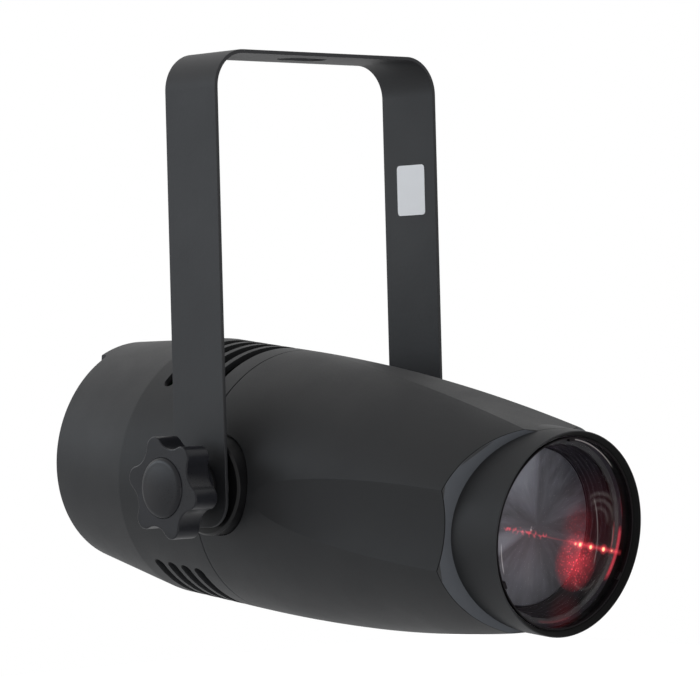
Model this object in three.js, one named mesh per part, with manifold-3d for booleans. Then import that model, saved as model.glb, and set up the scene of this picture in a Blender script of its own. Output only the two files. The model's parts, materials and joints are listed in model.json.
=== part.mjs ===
// A pinspot light: a tapered, faceted head that tilts in a flat steel yoke between two star knobs.
// Millimetres, Z up. The lens looks along -Y. The origin is the middle of the yoke's top face.
import * as THREE from "three";
import { mergeVertices } from "three/addons/utils/BufferGeometryUtils.js";
import Module from "manifold-3d";

const wasm = await Module();
wasm.setup();

// Facet counts
const barrelSides = 40;
const ringSides = 24;
const roundSides = 16;
const smallSides = 8;
const arcSteps = 3;
const domeSteps = 5;
const ovalSteps = 10; // in each quarter of the front shell's oval
const scoopSteps = 3; // in each half of a scoop's hollow
const taperSteps = 9; // along the front shell's flats
const bisections = 30;

// Vertices closer than this are one
const mergeTolerance = 1e-4;

// Clearances shared by every piece
const seat = 0.3; // gap left between two pieces that touch
const overrun = 3; // how far a cut runs past the face that it opens

// Yoke: one flat steel strap bent into a U, hung by the slot in its crossbar
const armGap = 5; // between the barrel's side and the inner face of an arm
const strapWidth = 30;
const strapThickness = 1.5;
const bendRadius = 15; // outer radius of the two bends
const pivotDrop = 168.8; // from the crossbar's top face down to the tilt axis
const armEndDrop = 13; // the arms end this far below the tilt axis
const armCornerRadius = 10.5;
const hangSlotLength = 23;
const hangSlotWidth = 10.5;

// Head attitude
const headTilt = 7.1; // degrees that the lens looks down
const barrelDrop = 1.8; // the barrel's axis lies this far below the tilt axis

// Barrel: lengths are measured along its axis from the tilt axis
const barrelRadius = 52.5;
const shellWall = 2.5;
const seamBack = 10.5; // the joint between front and rear shell, behind the tilt axis
const seamGap = 0.4;
const noseLength = 142.4; // tilt axis to front rim
const rearLength = 105.8; // tilt axis to rear rim

// Front shell: a round barrel that grows oval, cut by flats, scoops and cheeks down to the collar
const taperSetback = 12.9; // the oval drops below are reached this far behind the rim
const tallDrop = 12.1; // the oval's half height loses this much
const wideDrop = 7.4; // the oval's half width loses this much
const collarInset = 13.7; // the collar's rim lies this far inside the barrel's radius
const collarDraft = 0.5; // the collar is this much larger at its root
const collarWall = 2.2;
const rimChamfer = 0.5;
const cheekSetback = 22.8; // rim to where the slanted cheek meets the collar's side
const cheekAngle = 23; // degrees that each cheek slants back towards the side
const flatStart = 17; // the flats on top and below open here, in front of the tilt axis
const flatSetback = 12.4; // and reach their full width this far behind the rim
const flatHalfWidth = 14.4;
const scoopRadius = 61; // of the hollow in each side
const scoopRear = 30; // the scoop's floor slopes from here
const scoopSetback = 12.4; // to this far behind the rim
const scoopRearDepth = 1.3; // floor below the barrel at its rear place
const scoopFrontProud = 1.3; // floor above the collar's rim at its front place

// Lens group, from the rim backwards
const lensRecess = 3.6; // rim to the retaining ring
const lensRingDepth = 1.4;
const lensRingWidth = 0.7;
const lensTabWidth = 3;
const lensTabReach = 1;
const lensTabs = 3;
const lensTabPhase = 30; // degrees
const lensEdge = 3;
const lensDome = 4.2;
const gasketDepth = 1;
const gasketWidth = 3.4;
const ledgeDepth = 3; // the shell's inner ledge that carries the lens group
const ledgeReach = 2.3;
const holderFlange = 2.8;
const baffleSteps = 4;
const baffleDepth = 10.5;
const collimatorInset = 9.3; // of the collimator's rim inside the collar's
const collimatorRim = 2;
const collimatorTail = 8; // radius at the light source
const collimatorLength = 27;
const holderWall = 1.6;
const sourceHoleRadius = 4.6;
const sourceHoleDepth = 4.2;

// Light source and heatsink
const ledDomeRadius = 2.7;
const ledBaseSide = 5.6;
const ledBaseHeight = 0.9;
const ledBoardRadius = 17;
const ledBoardThickness = 1.6;
const heatsinkCoreRadius = 14;
const heatsinkInset = 16.5; // of the fins' tips inside the barrel's radius
const heatsinkFins = 20;
const finThickness = 1.4;

// Chassis: a bent strip that joins the pivots to the heatsink
const chassisInset = 7.3; // of its sides inside the barrel's radius
const chassisReach = 42.3; // tilt axis to its front face
const chassisStripWidth = 20;
const chassisThickness = 1.5;
const chassisRearReach = 15;

// Tilt pivots
const bossRadius = 17.2;
const bossProud = 3.7; // of the boss's face outside the barrel's radius
const bossHoleGap = 0.35;
const bossChamfer = 0.7;
const insertRadius = 6;
const insertInset = 0.3;
const insertTail = 2.2; // how far the insert passes through the chassis
const washerRadius = 14;
const washerThickness = 0.7;

// Star knobs
const studRadius = 4;
const studGap = 0.35; // around the stud in every hole
const studTail = 0.8; // stud end inside the chassis face
const knobWasherRadius = 10;
const knobWasherThickness = 1.4;
const knobHubRadius = 10.5;
const knobHubLength = 6.2;
const knobTipRadius = 20.4;
const knobValleyRadius = 15.6;
const knobLobeRadius = 4.5;
const knobLobes = 6;
const knobThickness = 11;
const knobEdge = 0.9; // rounding of the lobed edges
const knobPhase = -6.5; // degrees
const studSink = 9; // how deep the stud goes into the knob
const capRadius = 11.7;
const capRecess = 1.2;
const capDome = 1.8;

// Rear shell
const creaseShare = 0.4942; // of the way from the seam to the rim, where the barrel starts to taper
const rearDrop = 6.4; // the barrel's radius loses this much at the rim
const rearChamfer = 0.6;
const hoodLength = 5; // tongue that reaches back over the panel
const hoodHalfWidth = 21;
const hoodCorner = 3;
const spigotLength = 6.5;
const spigotWall = 2.2;
const ventCount = 4;
const ventOffset = 14; // seam to the first vent
const ventPitch = 7.4;
const ventWidth = 3;
const ventHalfAngle = 47.5; // degrees each side of the barrel's top or bottom

// Screw posts that tie panel, rear shell and front shell together
const postInset = 14; // of the posts' circle inside the barrel's radius
const postAngle = 30; // degrees above and below the barrel's sides
const postRadius = 4;
const postRib = 2;
const frontPostLength = 18;
const screwRadius = 1.6;
const screwGap = 0.35;
const screwHeadRadius = 3.2;
const screwHeadHeight = 2;
const screwGrip = 14; // length of screw in the front shell's posts

// Rear panel and what it carries
const panelRecess = 4.8; // rear rim to the panel's face
const panelThickness = 2.5;
const panelGap = 0.35;
const panelLedge = 2.6;
const displayWidthShare = 0.6152; // this and the shares below are of the panel's radius
const displayHeightShare = 0.2962;
const displayCorner = 1.6;
const displayRiseShare = 0.5696; // above the barrel's axis
const moduleDepth = 5;
const moduleBorder = 2;
const boardThickness = 1.6;
const buttonCount = 4;
const buttonPitchShare = 0.2187;
const buttonRiseShare = 0.2734;
const buttonRadius = 2.6;
const buttonProud = 1.8;
const buttonRound = 0.65;
const buttonTravel = 0.8;
const buttonFlangeRadius = 3.7;
const buttonFlangeThickness = 1;
const buttonGap = 0.35;
const switchSide = 6;
const controlBoardMargin = 3;

// Signal sockets and mains inlet
const socketSpreadShare = 0.5013;
const socketDropShare = 0.0911;
const socketShare = 0.237;
const socketWallShare = 0.0365;
const socketDepth = 18; // behind the panel's face
const socketFlangeShare = 0.2825;
const socketFlangeThickness = 1.6;
const socketCavity = 15;
const pinCircleShare = 0.1139;
const pinShare = 0.0262;
const pinLength = 12;
const pinHoleShare = 0.0342;
const coreGapShare = 0.0365; // ring gap round the insulator
const inletDropShare = 0.6152;
const inletWidthShare = 0.6152;
const inletHeightShare = 0.4443;
const inletWall = 2;
const inletCorner = 3;
const inletFlange = 1.5; // border of the flange round the body
const inletFlangeThickness = 1.6;
const inletDepth = 19;
const inletCavity = 15.5;
const bladeSpreadShare = 0.1595;
const bladeThickness = 2;
const bladeHeight = 4.5;
const bladeLength = 11;

// Driver electronics
const driverInset = 16.5; // of its long edges inside the barrel's radius
const driverFront = 20;
const driverTail = 24; // panel's face to its rear edge
const transformerWidth = 24;
const transformerLength = 26;
const transformerHeight = 19;
const transformerCore = 12;
const windingWidth = 16.8;
const windingHeight = 13.3;
const capacitorRadius = 6.5;
const capacitorHeight = 20;
const chokeRadius = 7;
const chokeWire = 3;
const chipSide = 10;
const chipHeight = 2.4;
const transformerShares = [-0.4, 0.3]; // across and along the driver board
const capacitorShares = [0.35, 0.2];
const chokeShares = [0.4, 0.7];
const chipShares = [-0.4, 0.85];

// Places worked out from the sizes above
const radians = Math.PI / 180;
const quarterTurn = Math.PI / 2;
const fullTurn = Math.PI * 2;
const half = 0.5;
const studHole = studRadius + studGap;
const yokeWidth = (barrelRadius + armGap + strapThickness) * 2;
const bossFace = barrelRadius + bossProud;
const postCircle = barrelRadius - postInset;
const collarRadius = barrelRadius - collarInset;
const cheekForward = noseLength - cheekSetback;
const taperLength = seamBack + noseLength - taperSetback;
const flatEnd = noseLength - flatSetback;
const scoopFront = noseLength - scoopSetback;
const creaseBack = seamBack + (rearLength - seamBack) * creaseShare;
const rearRadius = barrelRadius - rearDrop;
const ventFirst = seamBack + ventOffset;
const boreRadius = collarRadius - collarWall;
const collarRoot = collarRadius + collarDraft;
const collarRear = cheekForward + (collarRoot - collarRadius);
const shellBore = barrelRadius - shellWall;
const scoopRearReach = barrelRadius - scoopRearDepth;
const scoopFrontReach = collarRadius + scoopFrontProud;
const lensRingFront = lensRecess - noseLength;
const lensFront = lensRingFront + lensRingDepth + seat;
const lensRadius = boreRadius - seat;
const gasketFront = lensFront + lensEdge + seat;
const holderFront = gasketFront + gasketDepth + seat;
const ledgeFront = holderFront + holderFlange + seat;
const ledgeRadius = boreRadius - ledgeReach;
const collimatorRadius = collarRadius - collimatorInset;
const collimatorFront = holderFront + baffleDepth - collimatorRim;
const collimatorBack = collimatorFront + collimatorLength;
const ledBoardFront = collimatorBack + seat;
const heatsinkFront = ledBoardFront + ledBoardThickness + seat;
const heatsinkRadius = barrelRadius - heatsinkInset;
const chassisFront = -chassisReach;
const chassisHalfWidth = barrelRadius - chassisInset;
const heatsinkBack = chassisFront - seat;
const bossRoot = chassisHalfWidth + seat;
const bossHoleRadius = bossRadius + bossHoleGap;
const frictionFace = bossFace + seat;
const knobWasherFace = yokeWidth * half + seat;
const hubFace = knobWasherFace + knobWasherThickness + seat;
const knobBack = hubFace + knobHubLength;
const knobFace = knobBack + knobThickness;
const panelFace = rearLength - panelRecess;
const panelBack = panelFace - panelThickness;
const rearWallAt = (y) => {
  const share = Math.max(0, (y - creaseBack) / (rearLength - creaseBack));
  return barrelRadius - share * (barrelRadius - rearRadius) - shellWall;
};
const panelRadius = rearWallAt(panelFace) - panelGap;
const postTurn = postAngle * radians;
const postTurns = [postTurn, Math.PI - postTurn, Math.PI + postTurn, fullTurn - postTurn];
const postZ = postCircle * Math.sin(postTurn);
const displayWidth = panelRadius * displayWidthShare;
const displayHeight = panelRadius * displayHeightShare;
const displayRise = panelRadius * displayRiseShare;
const buttonPitch = panelRadius * buttonPitchShare;
const buttonRise = panelRadius * buttonRiseShare;
const socketSpread = panelRadius * socketSpreadShare;
const socketDrop = panelRadius * socketDropShare;
const socketRadius = panelRadius * socketShare;
const socketWall = panelRadius * socketWallShare;
const socketFlangeRadius = panelRadius * socketFlangeShare;
const pinCircle = panelRadius * pinCircleShare;
const pinRadius = panelRadius * pinShare;
const pinHoleRadius = panelRadius * pinHoleShare;
const coreGap = panelRadius * coreGapShare;
const inletDrop = panelRadius * inletDropShare;
const inletWidth = panelRadius * inletWidthShare;
const inletHeight = panelRadius * inletHeightShare;
const bladeSpread = panelRadius * bladeSpreadShare;
const displayBack = panelBack - seat - moduleDepth;
const controlBoardFace = displayBack - seat;
const buttonBack = panelBack - seat - buttonFlangeThickness;
const driverBottom = seat - postZ + postRadius;
const driverTop = driverBottom + boardThickness;
const driverHalfWidth = barrelRadius - driverInset;
const driverLength = panelFace - driverTail - driverFront;

// Closed geometry with merged vertices and its faces pointing outwards
function closed(geometry) {
  const bare = geometry.index ? geometry.clone() : geometry;
  bare.deleteAttribute("normal");
  bare.deleteAttribute("uv");
  const merged = mergeVertices(bare, mergeTolerance);
  const place = merged.attributes.position;
  const corner = [new THREE.Vector3(), new THREE.Vector3(), new THREE.Vector3()];
  const kept = [];
  let volume = 0;
  for (let i = 0; i < merged.index.count; i += 3) {
    const ids = [0, 1, 2].map((k) => merged.index.getX(i + k));
    if (new Set(ids).size < 3) continue;
    ids.forEach((id, k) => corner[k].fromBufferAttribute(place, id));
    volume += corner[0].dot(corner[1].clone().cross(corner[2]));
    kept.push(...ids);
  }
  if (volume < 0) kept.reverse();
  merged.setIndex(kept);
  return merged;
}

function toSolid(geometry) {
  const merged = closed(geometry);
  const vertProperties = new Float32Array(merged.attributes.position.array);
  const triVerts = new Uint32Array(merged.index.array);
  return new wasm.Manifold(new wasm.Mesh({ numProp: 3, vertProperties, triVerts }));
}

function toGeometry(solid) {
  const mesh = solid.getMesh();
  const geometry = new THREE.BufferGeometry();
  geometry.setAttribute("position", new THREE.BufferAttribute(mesh.vertProperties, mesh.numProp));
  geometry.setIndex(new THREE.BufferAttribute(mesh.triVerts, 1));
  return geometry;
}

const joined = (...parts) => toGeometry(parts.map(toSolid).reduce((a, b) => a.add(b)));
const cut = (base, ...tools) =>
  toGeometry(tools.map(toSolid).reduce((a, b) => a.subtract(b), toSolid(base)));
const common = (a, b) => toGeometry(toSolid(a).intersect(toSolid(b)));

// Turned shape round the Y axis from [radius, y] pairs
function turned(profile, sides = roundSides) {
  return new THREE.LatheGeometry(profile.map(([r, y]) => new THREE.Vector2(r, y)), sides);
}

// Turned tube whose wall lies between two radii
function ring(inner, outer, y0, y1, sides = roundSides) {
  return turned([[inner, y0], [outer, y0], [outer, y1], [inner, y1], [inner, y0]], sides);
}

// Round bar along Y
function bar(radius, y0, y1, sides = roundSides) {
  const geometry = new THREE.CylinderGeometry(radius, radius, Math.abs(y1 - y0), sides);
  return geometry.translate(0, (y0 + y1) * half, 0);
}

const sideAxes = {
  x: new THREE.Vector3(1, 0, 0),
  y: new THREE.Vector3(0, 1, 0),
  z: new THREE.Vector3(0, 0, 1),
};

const block = (width, depth, height) => new THREE.BoxGeometry(width, depth, height);

function roundedShape(width, height, radius) {
  const x = width * half - radius;
  const y = height * half - radius;
  const shape = new THREE.Shape();
  shape.absarc(x, -y, radius, -quarterTurn, 0);
  shape.absarc(x, y, radius, 0, quarterTurn);
  shape.absarc(-x, y, radius, quarterTurn, Math.PI);
  shape.absarc(-x, -y, radius, Math.PI, Math.PI + quarterTurn);
  shape.closePath();
  return shape;
}

// A shape drawn in X and Z, pushed along Y from y0 to y1
function pushed(shape, y0, y1, options = {}) {
  const depth = y1 - y0;
  const settings = { depth, bevelEnabled: false, curveSegments: arcSteps, ...options };
  const geometry = new THREE.ExtrudeGeometry(shape, settings);
  return geometry.rotateX(quarterTurn).translate(0, y1, 0);
}

// A shape drawn in X and Y, pushed up along Z from z0 to z1
function raised(shape, z0, z1) {
  const settings = { depth: z1 - z0, bevelEnabled: false, curveSegments: arcSteps };
  return new THREE.ExtrudeGeometry(shape, settings).translate(0, 0, z0);
}

// A shape drawn in Y and Z, pushed along X from x0 to x1
function crosswise(shape, x0, x1) {
  const settings = { depth: x1 - x0, bevelEnabled: false, curveSegments: arcSteps };
  const geometry = new THREE.ExtrudeGeometry(shape, settings);
  const along = new THREE.Matrix4().makeBasis(sideAxes.y, sideAxes.z, sideAxes.x);
  return geometry.applyMatrix4(along).translate(x0, 0, 0);
}

function outline(points) {
  return new THREE.Shape(points.map(([x, y]) => new THREE.Vector2(x, y)));
}

// Finishes: colour, roughness, metalness
const finish = (color, roughness, metalness = 0) =>
  new THREE.MeshStandardMaterial({ color, roughness, metalness });
const blackSteel = finish(0x1b1c1e, 0.55, 0.3);
const blackShell = finish(0x17181a, 0.62);
const blackGloss = finish(0x121315, 0.35);
const blackFlat = finish(0x101012, 0.85);
const bareSteel = finish(0xb8babd, 0.35, 1);
const aluminium = finish(0xa9adb2, 0.45, 1);
const brass = finish(0xb8913f, 0.35, 1);
const clearLens = finish(0xe8eef0, 0.05);
const smokeWindow = finish(0x1a1d22, 0.1);
const greenBoard = finish(0x1d5b36, 0.6);
const whiteBoard = finish(0xe6e6e0, 0.6);
const rubber = finish(0x161616, 0.9);
const yellowTape = finish(0xc9a227, 0.6);
const ledSilicone = finish(0xd65a3a, 0.3);

const light = new THREE.Group();
const head = new THREE.Group();
const barrel = new THREE.Group();
head.position.set(0, 0, -pivotDrop);
head.rotation.x = headTilt * radians;
barrel.position.set(0, 0, -barrelDrop);
head.add(barrel);
light.add(head);

function place(parent, name, geometry, material) {
  const mesh = new THREE.Mesh(closed(geometry), material);
  mesh.name = name;
  parent.add(mesh);
  return mesh;
}

// The strap's side view: a U with round bends
function yokeOutline() {
  const out = yokeWidth * half;
  const inner = out - strapThickness;
  const foot = -pivotDrop - armEndDrop;
  const bend = out - bendRadius;
  const innerBend = bendRadius - strapThickness;
  const shape = new THREE.Shape();
  shape.absarc(bend, -bendRadius, bendRadius, 0, quarterTurn);
  shape.absarc(-bend, -bendRadius, bendRadius, quarterTurn, Math.PI);
  shape.lineTo(-out, foot);
  shape.lineTo(-inner, foot);
  shape.absarc(-bend, -bendRadius, innerBend, Math.PI, quarterTurn, true);
  shape.absarc(bend, -bendRadius, innerBend, quarterTurn, 0, true);
  shape.lineTo(inner, foot);
  shape.lineTo(out, foot);
  shape.closePath();
  return shape;
}

function yokeStrap() {
  const strap = pushed(yokeOutline(), -strapWidth * half, strapWidth * half);
  const foot = pivotDrop + armEndDrop;
  const tall = foot + armCornerRadius * 2;
  const ends = crosswise(roundedShape(strapWidth, tall, armCornerRadius), -yokeWidth, yokeWidth);
  ends.translate(0, 0, tall * half - foot);
  const slot = raised(roundedShape(hangSlotLength, hangSlotWidth, hangSlotWidth * half), -overrun, overrun);
  const pivots = bar(studHole, -yokeWidth, yokeWidth).rotateZ(quarterTurn).translate(0, 0, -pivotDrop);
  return cut(common(strap, ends), slot, pivots);
}

// Oval of the front shell at a place y along the barrel: half its width and half its height
function ovalAt(y) {
  const share = Math.max(0, (seamBack - y) / taperLength);
  return { wide: barrelRadius - wideDrop * share ** 2, tall: barrelRadius - tallDrop * share ** 2 };
}

const ovalWidthAt = (y, z) => ovalAt(y).wide * Math.sqrt(1 - (z / ovalAt(y).tall) ** 2);

// The flats widen as a plane does that dips into the barrel
const flatEdgeAt = (y) => flatHalfWidth * Math.sqrt(Math.max(0, (-y - flatStart) / (flatEnd - flatStart)));

// How far out the hollow of a scoop lies at a place y and a height z
function scoopAt(y, z) {
  const slope = (scoopRearReach - scoopFrontReach) / (scoopFront - scoopRear);
  const floor = scoopFrontReach + slope * (scoopFront + y);
  return floor + scoopRadius - Math.sqrt(scoopRadius ** 2 - z ** 2);
}

// Height at which a scoop's hollow runs out into the oval
function scoopEdgeAt(y) {
  let low = 0;
  let high = ovalAt(y).tall * half;
  for (let i = 0; i < bisections; i++) {
    const middle = (low + high) * half;
    if (scoopAt(y, middle) < ovalWidthAt(y, middle)) low = middle;
    else high = middle;
  }
  return low;
}

// One quarter of the section: up the scoop's hollow, then round the oval to the flat's edge
function quarterSection(y) {
  const { wide, tall } = ovalAt(y);
  const edge = scoopEdgeAt(y);
  const points = [];
  for (let i = 0; i <= scoopSteps; i++) {
    const z = (edge * i) / scoopSteps;
    points.push([Math.min(scoopAt(y, z), ovalWidthAt(y, z)), z]);
  }
  const start = Math.asin(edge / tall);
  const end = Math.acos(flatEdgeAt(y) / wide);
  for (let i = 1; i <= ovalSteps; i++) {
    const angle = start + ((end - start) * i) / ovalSteps;
    points.push([wide * Math.cos(angle), tall * Math.sin(angle)]);
  }
  return points;
}

function fullSection(y) {
  const quarter = quarterSection(y);
  const top = [...quarter, ...quarter.map(([x, z]) => [-x, z]).reverse()];
  const bottom = top.slice(1, -1).map(([x, z]) => [x, -z]).reverse();
  return [...top, ...bottom].map(([x, z]) => [x, y, z]);
}

// Closed skin through sections that have as many points each
function loft(sections) {
  const count = sections[0].length;
  const points = sections.flat(2);
  const first = sections.length * count;
  const last = first + 1;
  points.push(0, sections[0][0][1], 0, 0, sections.at(-1)[0][1], 0);
  const faces = [];
  for (let k = 0; k < count; k++) {
    const next = (k + 1) % count;
    for (let i = 1; i < sections.length; i++) {
      const b = i * count;
      const a = b - count;
      faces.push(a + k, a + next, b + k, b + k, a + next, b + next);
    }
    const tail = first - count;
    faces.push(first, next, k, last, tail + k, tail + next);
  }
  const geometry = new THREE.BufferGeometry();
  geometry.setAttribute("position", new THREE.Float32BufferAttribute(points, 3));
  geometry.setIndex(faces);
  return geometry;
}

// Barrel with its flats and scoops, in sections that lie closer where the flats begin
function taperedBarrel(y0, y1) {
  const sections = [fullSection(y0)];
  for (let i = 0; i <= taperSteps; i++) {
    sections.push(fullSection(-flatStart + (y1 + flatStart) * (i / taperSteps) ** 2));
  }
  return loft(sections);
}

// Wedge in front of one cheek, which slants back towards the side
function cheekTool(side) {
  const slope = Math.tan(cheekAngle * radians);
  const edge = barrelRadius + overrun;
  const inner = -cheekForward - slope * collarRadius;
  const outer = -cheekForward + slope * (edge - collarRadius);
  const front = -noseLength - overrun;
  const shape = outline([[0, inner], [side * edge, outer], [side * edge, front], [0, front]]);
  return raised(shape, -edge, edge);
}

function collarSolid() {
  return turned([
    [0, -cheekForward + shellWall],
    [collarRoot, -cheekForward + shellWall],
    [collarRadius, -noseLength + rimChamfer],
    [collarRadius - rimChamfer, -noseLength],
    [0, -noseLength],
  ], barrelSides);
}

function frontBore() {
  return turned([
    [0, seamBack + overrun],
    [shellBore, seamBack + overrun],
    [shellBore, 0],
    [scoopRearReach - shellWall, -scoopRear],
    [boreRadius + seat, -collarRear],
    [ledgeRadius, ledgeFront + ledgeDepth],
    [ledgeRadius, ledgeFront],
    [boreRadius, ledgeFront],
    [boreRadius, -noseLength - overrun],
    [0, -noseLength - overrun],
  ], barrelSides);
}

// Four screw posts with ribs out to the shell's wall, between two places on the axis
function posts(y0, y1, ribEnd) {
  const reach = shellBore + shellWall * half - postCircle;
  return postTurns.flatMap((turn) => {
    const post = bar(postRadius, y0, y1, smallSides).translate(postCircle, 0, 0);
    const rib = block(reach, ribEnd - y0, postRib);
    rib.translate(postCircle + reach * half, (y0 + ribEnd) * half, 0);
    return [post, rib].map((part) => part.rotateY(-turn));
  });
}

const postBores = (y0, y1) => postTurns.map((turn) =>
  bar(screwRadius + screwGap, y0, y1, smallSides).translate(postCircle, 0, 0).rotateY(-turn));

// Round openings through both sides of the barrel for the pivot bosses
const bossHoles = () => [-1, 1].map((side) =>
  bar(bossHoleRadius, postCircle + postRadius, barrelRadius * 2, ringSides)
    .rotateZ(side * quarterTurn).translate(0, 0, barrelDrop));

function frontShell() {
  const seamFace = seamBack - seamGap * half;
  const tip = -cheekForward - Math.tan(cheekAngle * radians) * collarRadius;
  const body = cut(taperedBarrel(seamFace, tip), cheekTool(1), cheekTool(-1));
  const shell = cut(joined(body, collarSolid()), frontBore());
  const inner = seamFace - frontPostLength;
  const grown = joined(shell, ...posts(inner, seamFace, seamBack - spigotLength - seat * 2));
  return cut(grown, ...bossHoles(), ...postBores(seamFace - screwGrip - overrun * half, seamFace + overrun));
}

// The tongue's outline from above, and a straight cut that leaves it standing behind the rim
function hoodTool() {
  const end = rearLength + hoodLength;
  const wide = barrelRadius + overrun;
  const root = hoodHalfWidth + hoodCorner;
  const tip = hoodHalfWidth - hoodCorner;
  const keep = new THREE.Shape();
  keep.absarc(-root, rearLength + hoodCorner, hoodCorner, -quarterTurn, 0);
  keep.absarc(-tip, end - hoodCorner, hoodCorner, Math.PI, quarterTurn, true);
  keep.absarc(tip, end - hoodCorner, hoodCorner, quarterTurn, 0, true);
  keep.absarc(root, rearLength + hoodCorner, hoodCorner, Math.PI, Math.PI + quarterTurn);
  keep.lineTo(root, rearLength - overrun);
  keep.lineTo(-root, rearLength - overrun);
  keep.closePath();
  const slab = block(wide * 2, hoodLength + overrun, wide * 2);
  slab.translate(0, rearLength + (hoodLength + overrun) * half, 0);
  return cut(slab, raised(keep, 0, wide + overrun));
}

// One vent: an arc-shaped slot with round ends through the top (side 1) or bottom (side -1)
function ventTool(y, side) {
  const angle = ventHalfAngle * radians;
  const inner = shellBore - overrun;
  const outer = barrelRadius + overrun;
  const start = quarterTurn * side - angle;
  const shape = new THREE.Shape();
  shape.absarc(0, 0, outer, start, start + angle * 2);
  shape.absarc(0, 0, inner, start + angle * 2, start, true);
  shape.closePath();
  const sector = pushed(shape, y - ventWidth * half, y + ventWidth * half);
  const ends = [start, start + angle * 2].map((turn) =>
    bar(ventWidth * half, inner, outer, smallSides).rotateZ(-quarterTurn).rotateY(-turn).translate(0, y, 0));
  return joined(sector, ...ends);
}

function rearShell() {
  const start = seamBack + seamGap * half;
  const end = rearLength + hoodLength;
  const taper = (barrelRadius - rearRadius) / (rearLength - creaseBack);
  const endRadius = rearRadius - taper * hoodLength;
  const spigotOuter = shellBore - seat;
  const spigotFront = seamBack - spigotLength;
  const spigotInner = spigotOuter - spigotWall;
  const ledge = panelBack - seat;
  const ledgeInner = panelRadius - panelLedge;
  const outer = turned([
    [0, spigotFront],
    [spigotOuter, spigotFront],
    [spigotOuter, start],
    [barrelRadius, start],
    [barrelRadius, creaseBack],
    [endRadius + taper * rearChamfer, end - rearChamfer],
    [endRadius - rearChamfer, end],
    [0, end],
  ], barrelSides);
  const bore = turned([
    [0, spigotFront - overrun],
    [spigotInner, spigotFront - overrun],
    [spigotInner, start + overrun],
    [shellBore, start + overrun * 2],
    [shellBore, creaseBack],
    [rearWallAt(ledge - panelLedge), ledge - panelLedge],
    [ledgeInner, ledge - panelLedge * half],
    [ledgeInner, ledge],
    [rearWallAt(ledge), ledge],
    [endRadius - shellWall, end + rearChamfer],
    [0, end + rearChamfer],
  ], barrelSides);
  const shell = cut(outer, bore, hoodTool());
  const inside = common(joined(...posts(start, ledge, ledge)), turned([
    [0, start],
    [shellBore + seat, start],
    [shellBore + seat, creaseBack],
    [rearWallAt(ledge) + seat, ledge],
    [0, ledge],
  ], barrelSides));
  const vents = [];
  for (let i = 0; i < ventCount; i++) {
    vents.push(ventTool(ventFirst + i * ventPitch, 1), ventTool(ventFirst + i * ventPitch, -1));
  }
  const bores = postBores(start - overrun, panelBack + overrun);
  return cut(joined(shell, inside), ...bossHoles(), ...vents, ...bores);
}

// Ring that holds the lens, with small tabs over its edge
function lensRing() {
  const outer = boreRadius - seat;
  const inner = outer - lensRingWidth;
  const parts = [ring(inner, outer, lensRingFront, lensRingFront + lensRingDepth, barrelSides)];
  const root = inner + lensRingWidth * half;
  const reach = lensRingWidth * half + lensTabReach;
  for (let i = 0; i < lensTabs; i++) {
    const tab = block(reach, lensRingDepth, lensTabWidth);
    tab.translate(root - reach * half, lensRingFront + lensRingDepth * half, 0);
    parts.push(tab.rotateY(-lensTabPhase * radians - (fullTurn * i) / lensTabs));
  }
  return joined(...parts);
}

// Plano-convex lens: flat back, domed front inside the retaining ring
function frontLens() {
  const domeRadius = lensRadius - lensRingWidth - lensTabReach;
  const back = lensFront + lensEdge;
  const profile = [[0, back], [lensRadius, back], [lensRadius, lensFront]];
  for (let i = 0; i <= domeSteps; i++) {
    const share = 1 - i / domeSteps;
    profile.push([domeRadius * share, lensFront - lensDome * (1 - share * share)]);
  }
  return turned(profile, ringSides);
}

const lensGasket = () =>
  ring(lensRadius - gasketWidth, lensRadius, gasketFront, gasketFront + gasketDepth, ringSides);

// Stepped black baffle in front, cone behind that cups the collimator
function collimatorHolder() {
  const flangeOuter = boreRadius - seat;
  const throat = collimatorRadius + seat;
  const mouth = flangeOuter - gasketWidth;
  const profile = [[throat, holderFront + baffleDepth]];
  const rise = (mouth - throat) / baffleSteps;
  const drop = baffleDepth / baffleSteps;
  for (let i = 1; i <= baffleSteps; i++) {
    profile.push([throat + rise * i, holderFront + baffleDepth - drop * (i - 1)]);
    profile.push([throat + rise * i, holderFront + baffleDepth - drop * i]);
  }
  const tailInner = collimatorTail + seat;
  profile.push([flangeOuter, holderFront], [flangeOuter, holderFront + holderFlange]);
  profile.push([ledgeRadius - seat, holderFront + holderFlange]);
  profile.push([throat + holderWall * 2, holderFront + baffleDepth + holderWall]);
  profile.push([tailInner + holderWall, collimatorBack], [tailInner, collimatorBack]);
  profile.push([throat, collimatorFront + collimatorRim + seat * 2], [throat, holderFront + baffleDepth]);
  return turned(profile, ringSides);
}

// Cone-shaped optic with a hollow at its tail for the light source
function collimator() {
  const shoulder = collimatorFront + collimatorRim;
  return turned([
    [0, collimatorFront], [collimatorRadius, collimatorFront], [collimatorRadius, shoulder],
    [collimatorTail, collimatorBack - seat], [sourceHoleRadius, collimatorBack - seat],
    [sourceHoleRadius - seat, collimatorBack - sourceHoleDepth], [0, collimatorBack - sourceHoleDepth],
  ], ringSides);
}

const ledBoard = () => bar(ledBoardRadius, ledBoardFront, ledBoardFront + ledBoardThickness);

function ledEmitter() {
  const foot = ledBoardFront - seat * half;
  const base = block(ledBaseSide, ledBaseHeight, ledBaseSide).translate(0, foot - ledBaseHeight * half, 0);
  const dome = new THREE.SphereGeometry(ledDomeRadius, smallSides, smallSides * half);
  dome.translate(0, foot - ledBaseHeight, 0);
  const above = block(ledBaseSide, ledDomeRadius + ledBaseHeight, ledBaseSide);
  above.translate(0, foot - (ledDomeRadius + ledBaseHeight) * half, 0);
  return joined(base, common(dome, above));
}

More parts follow.
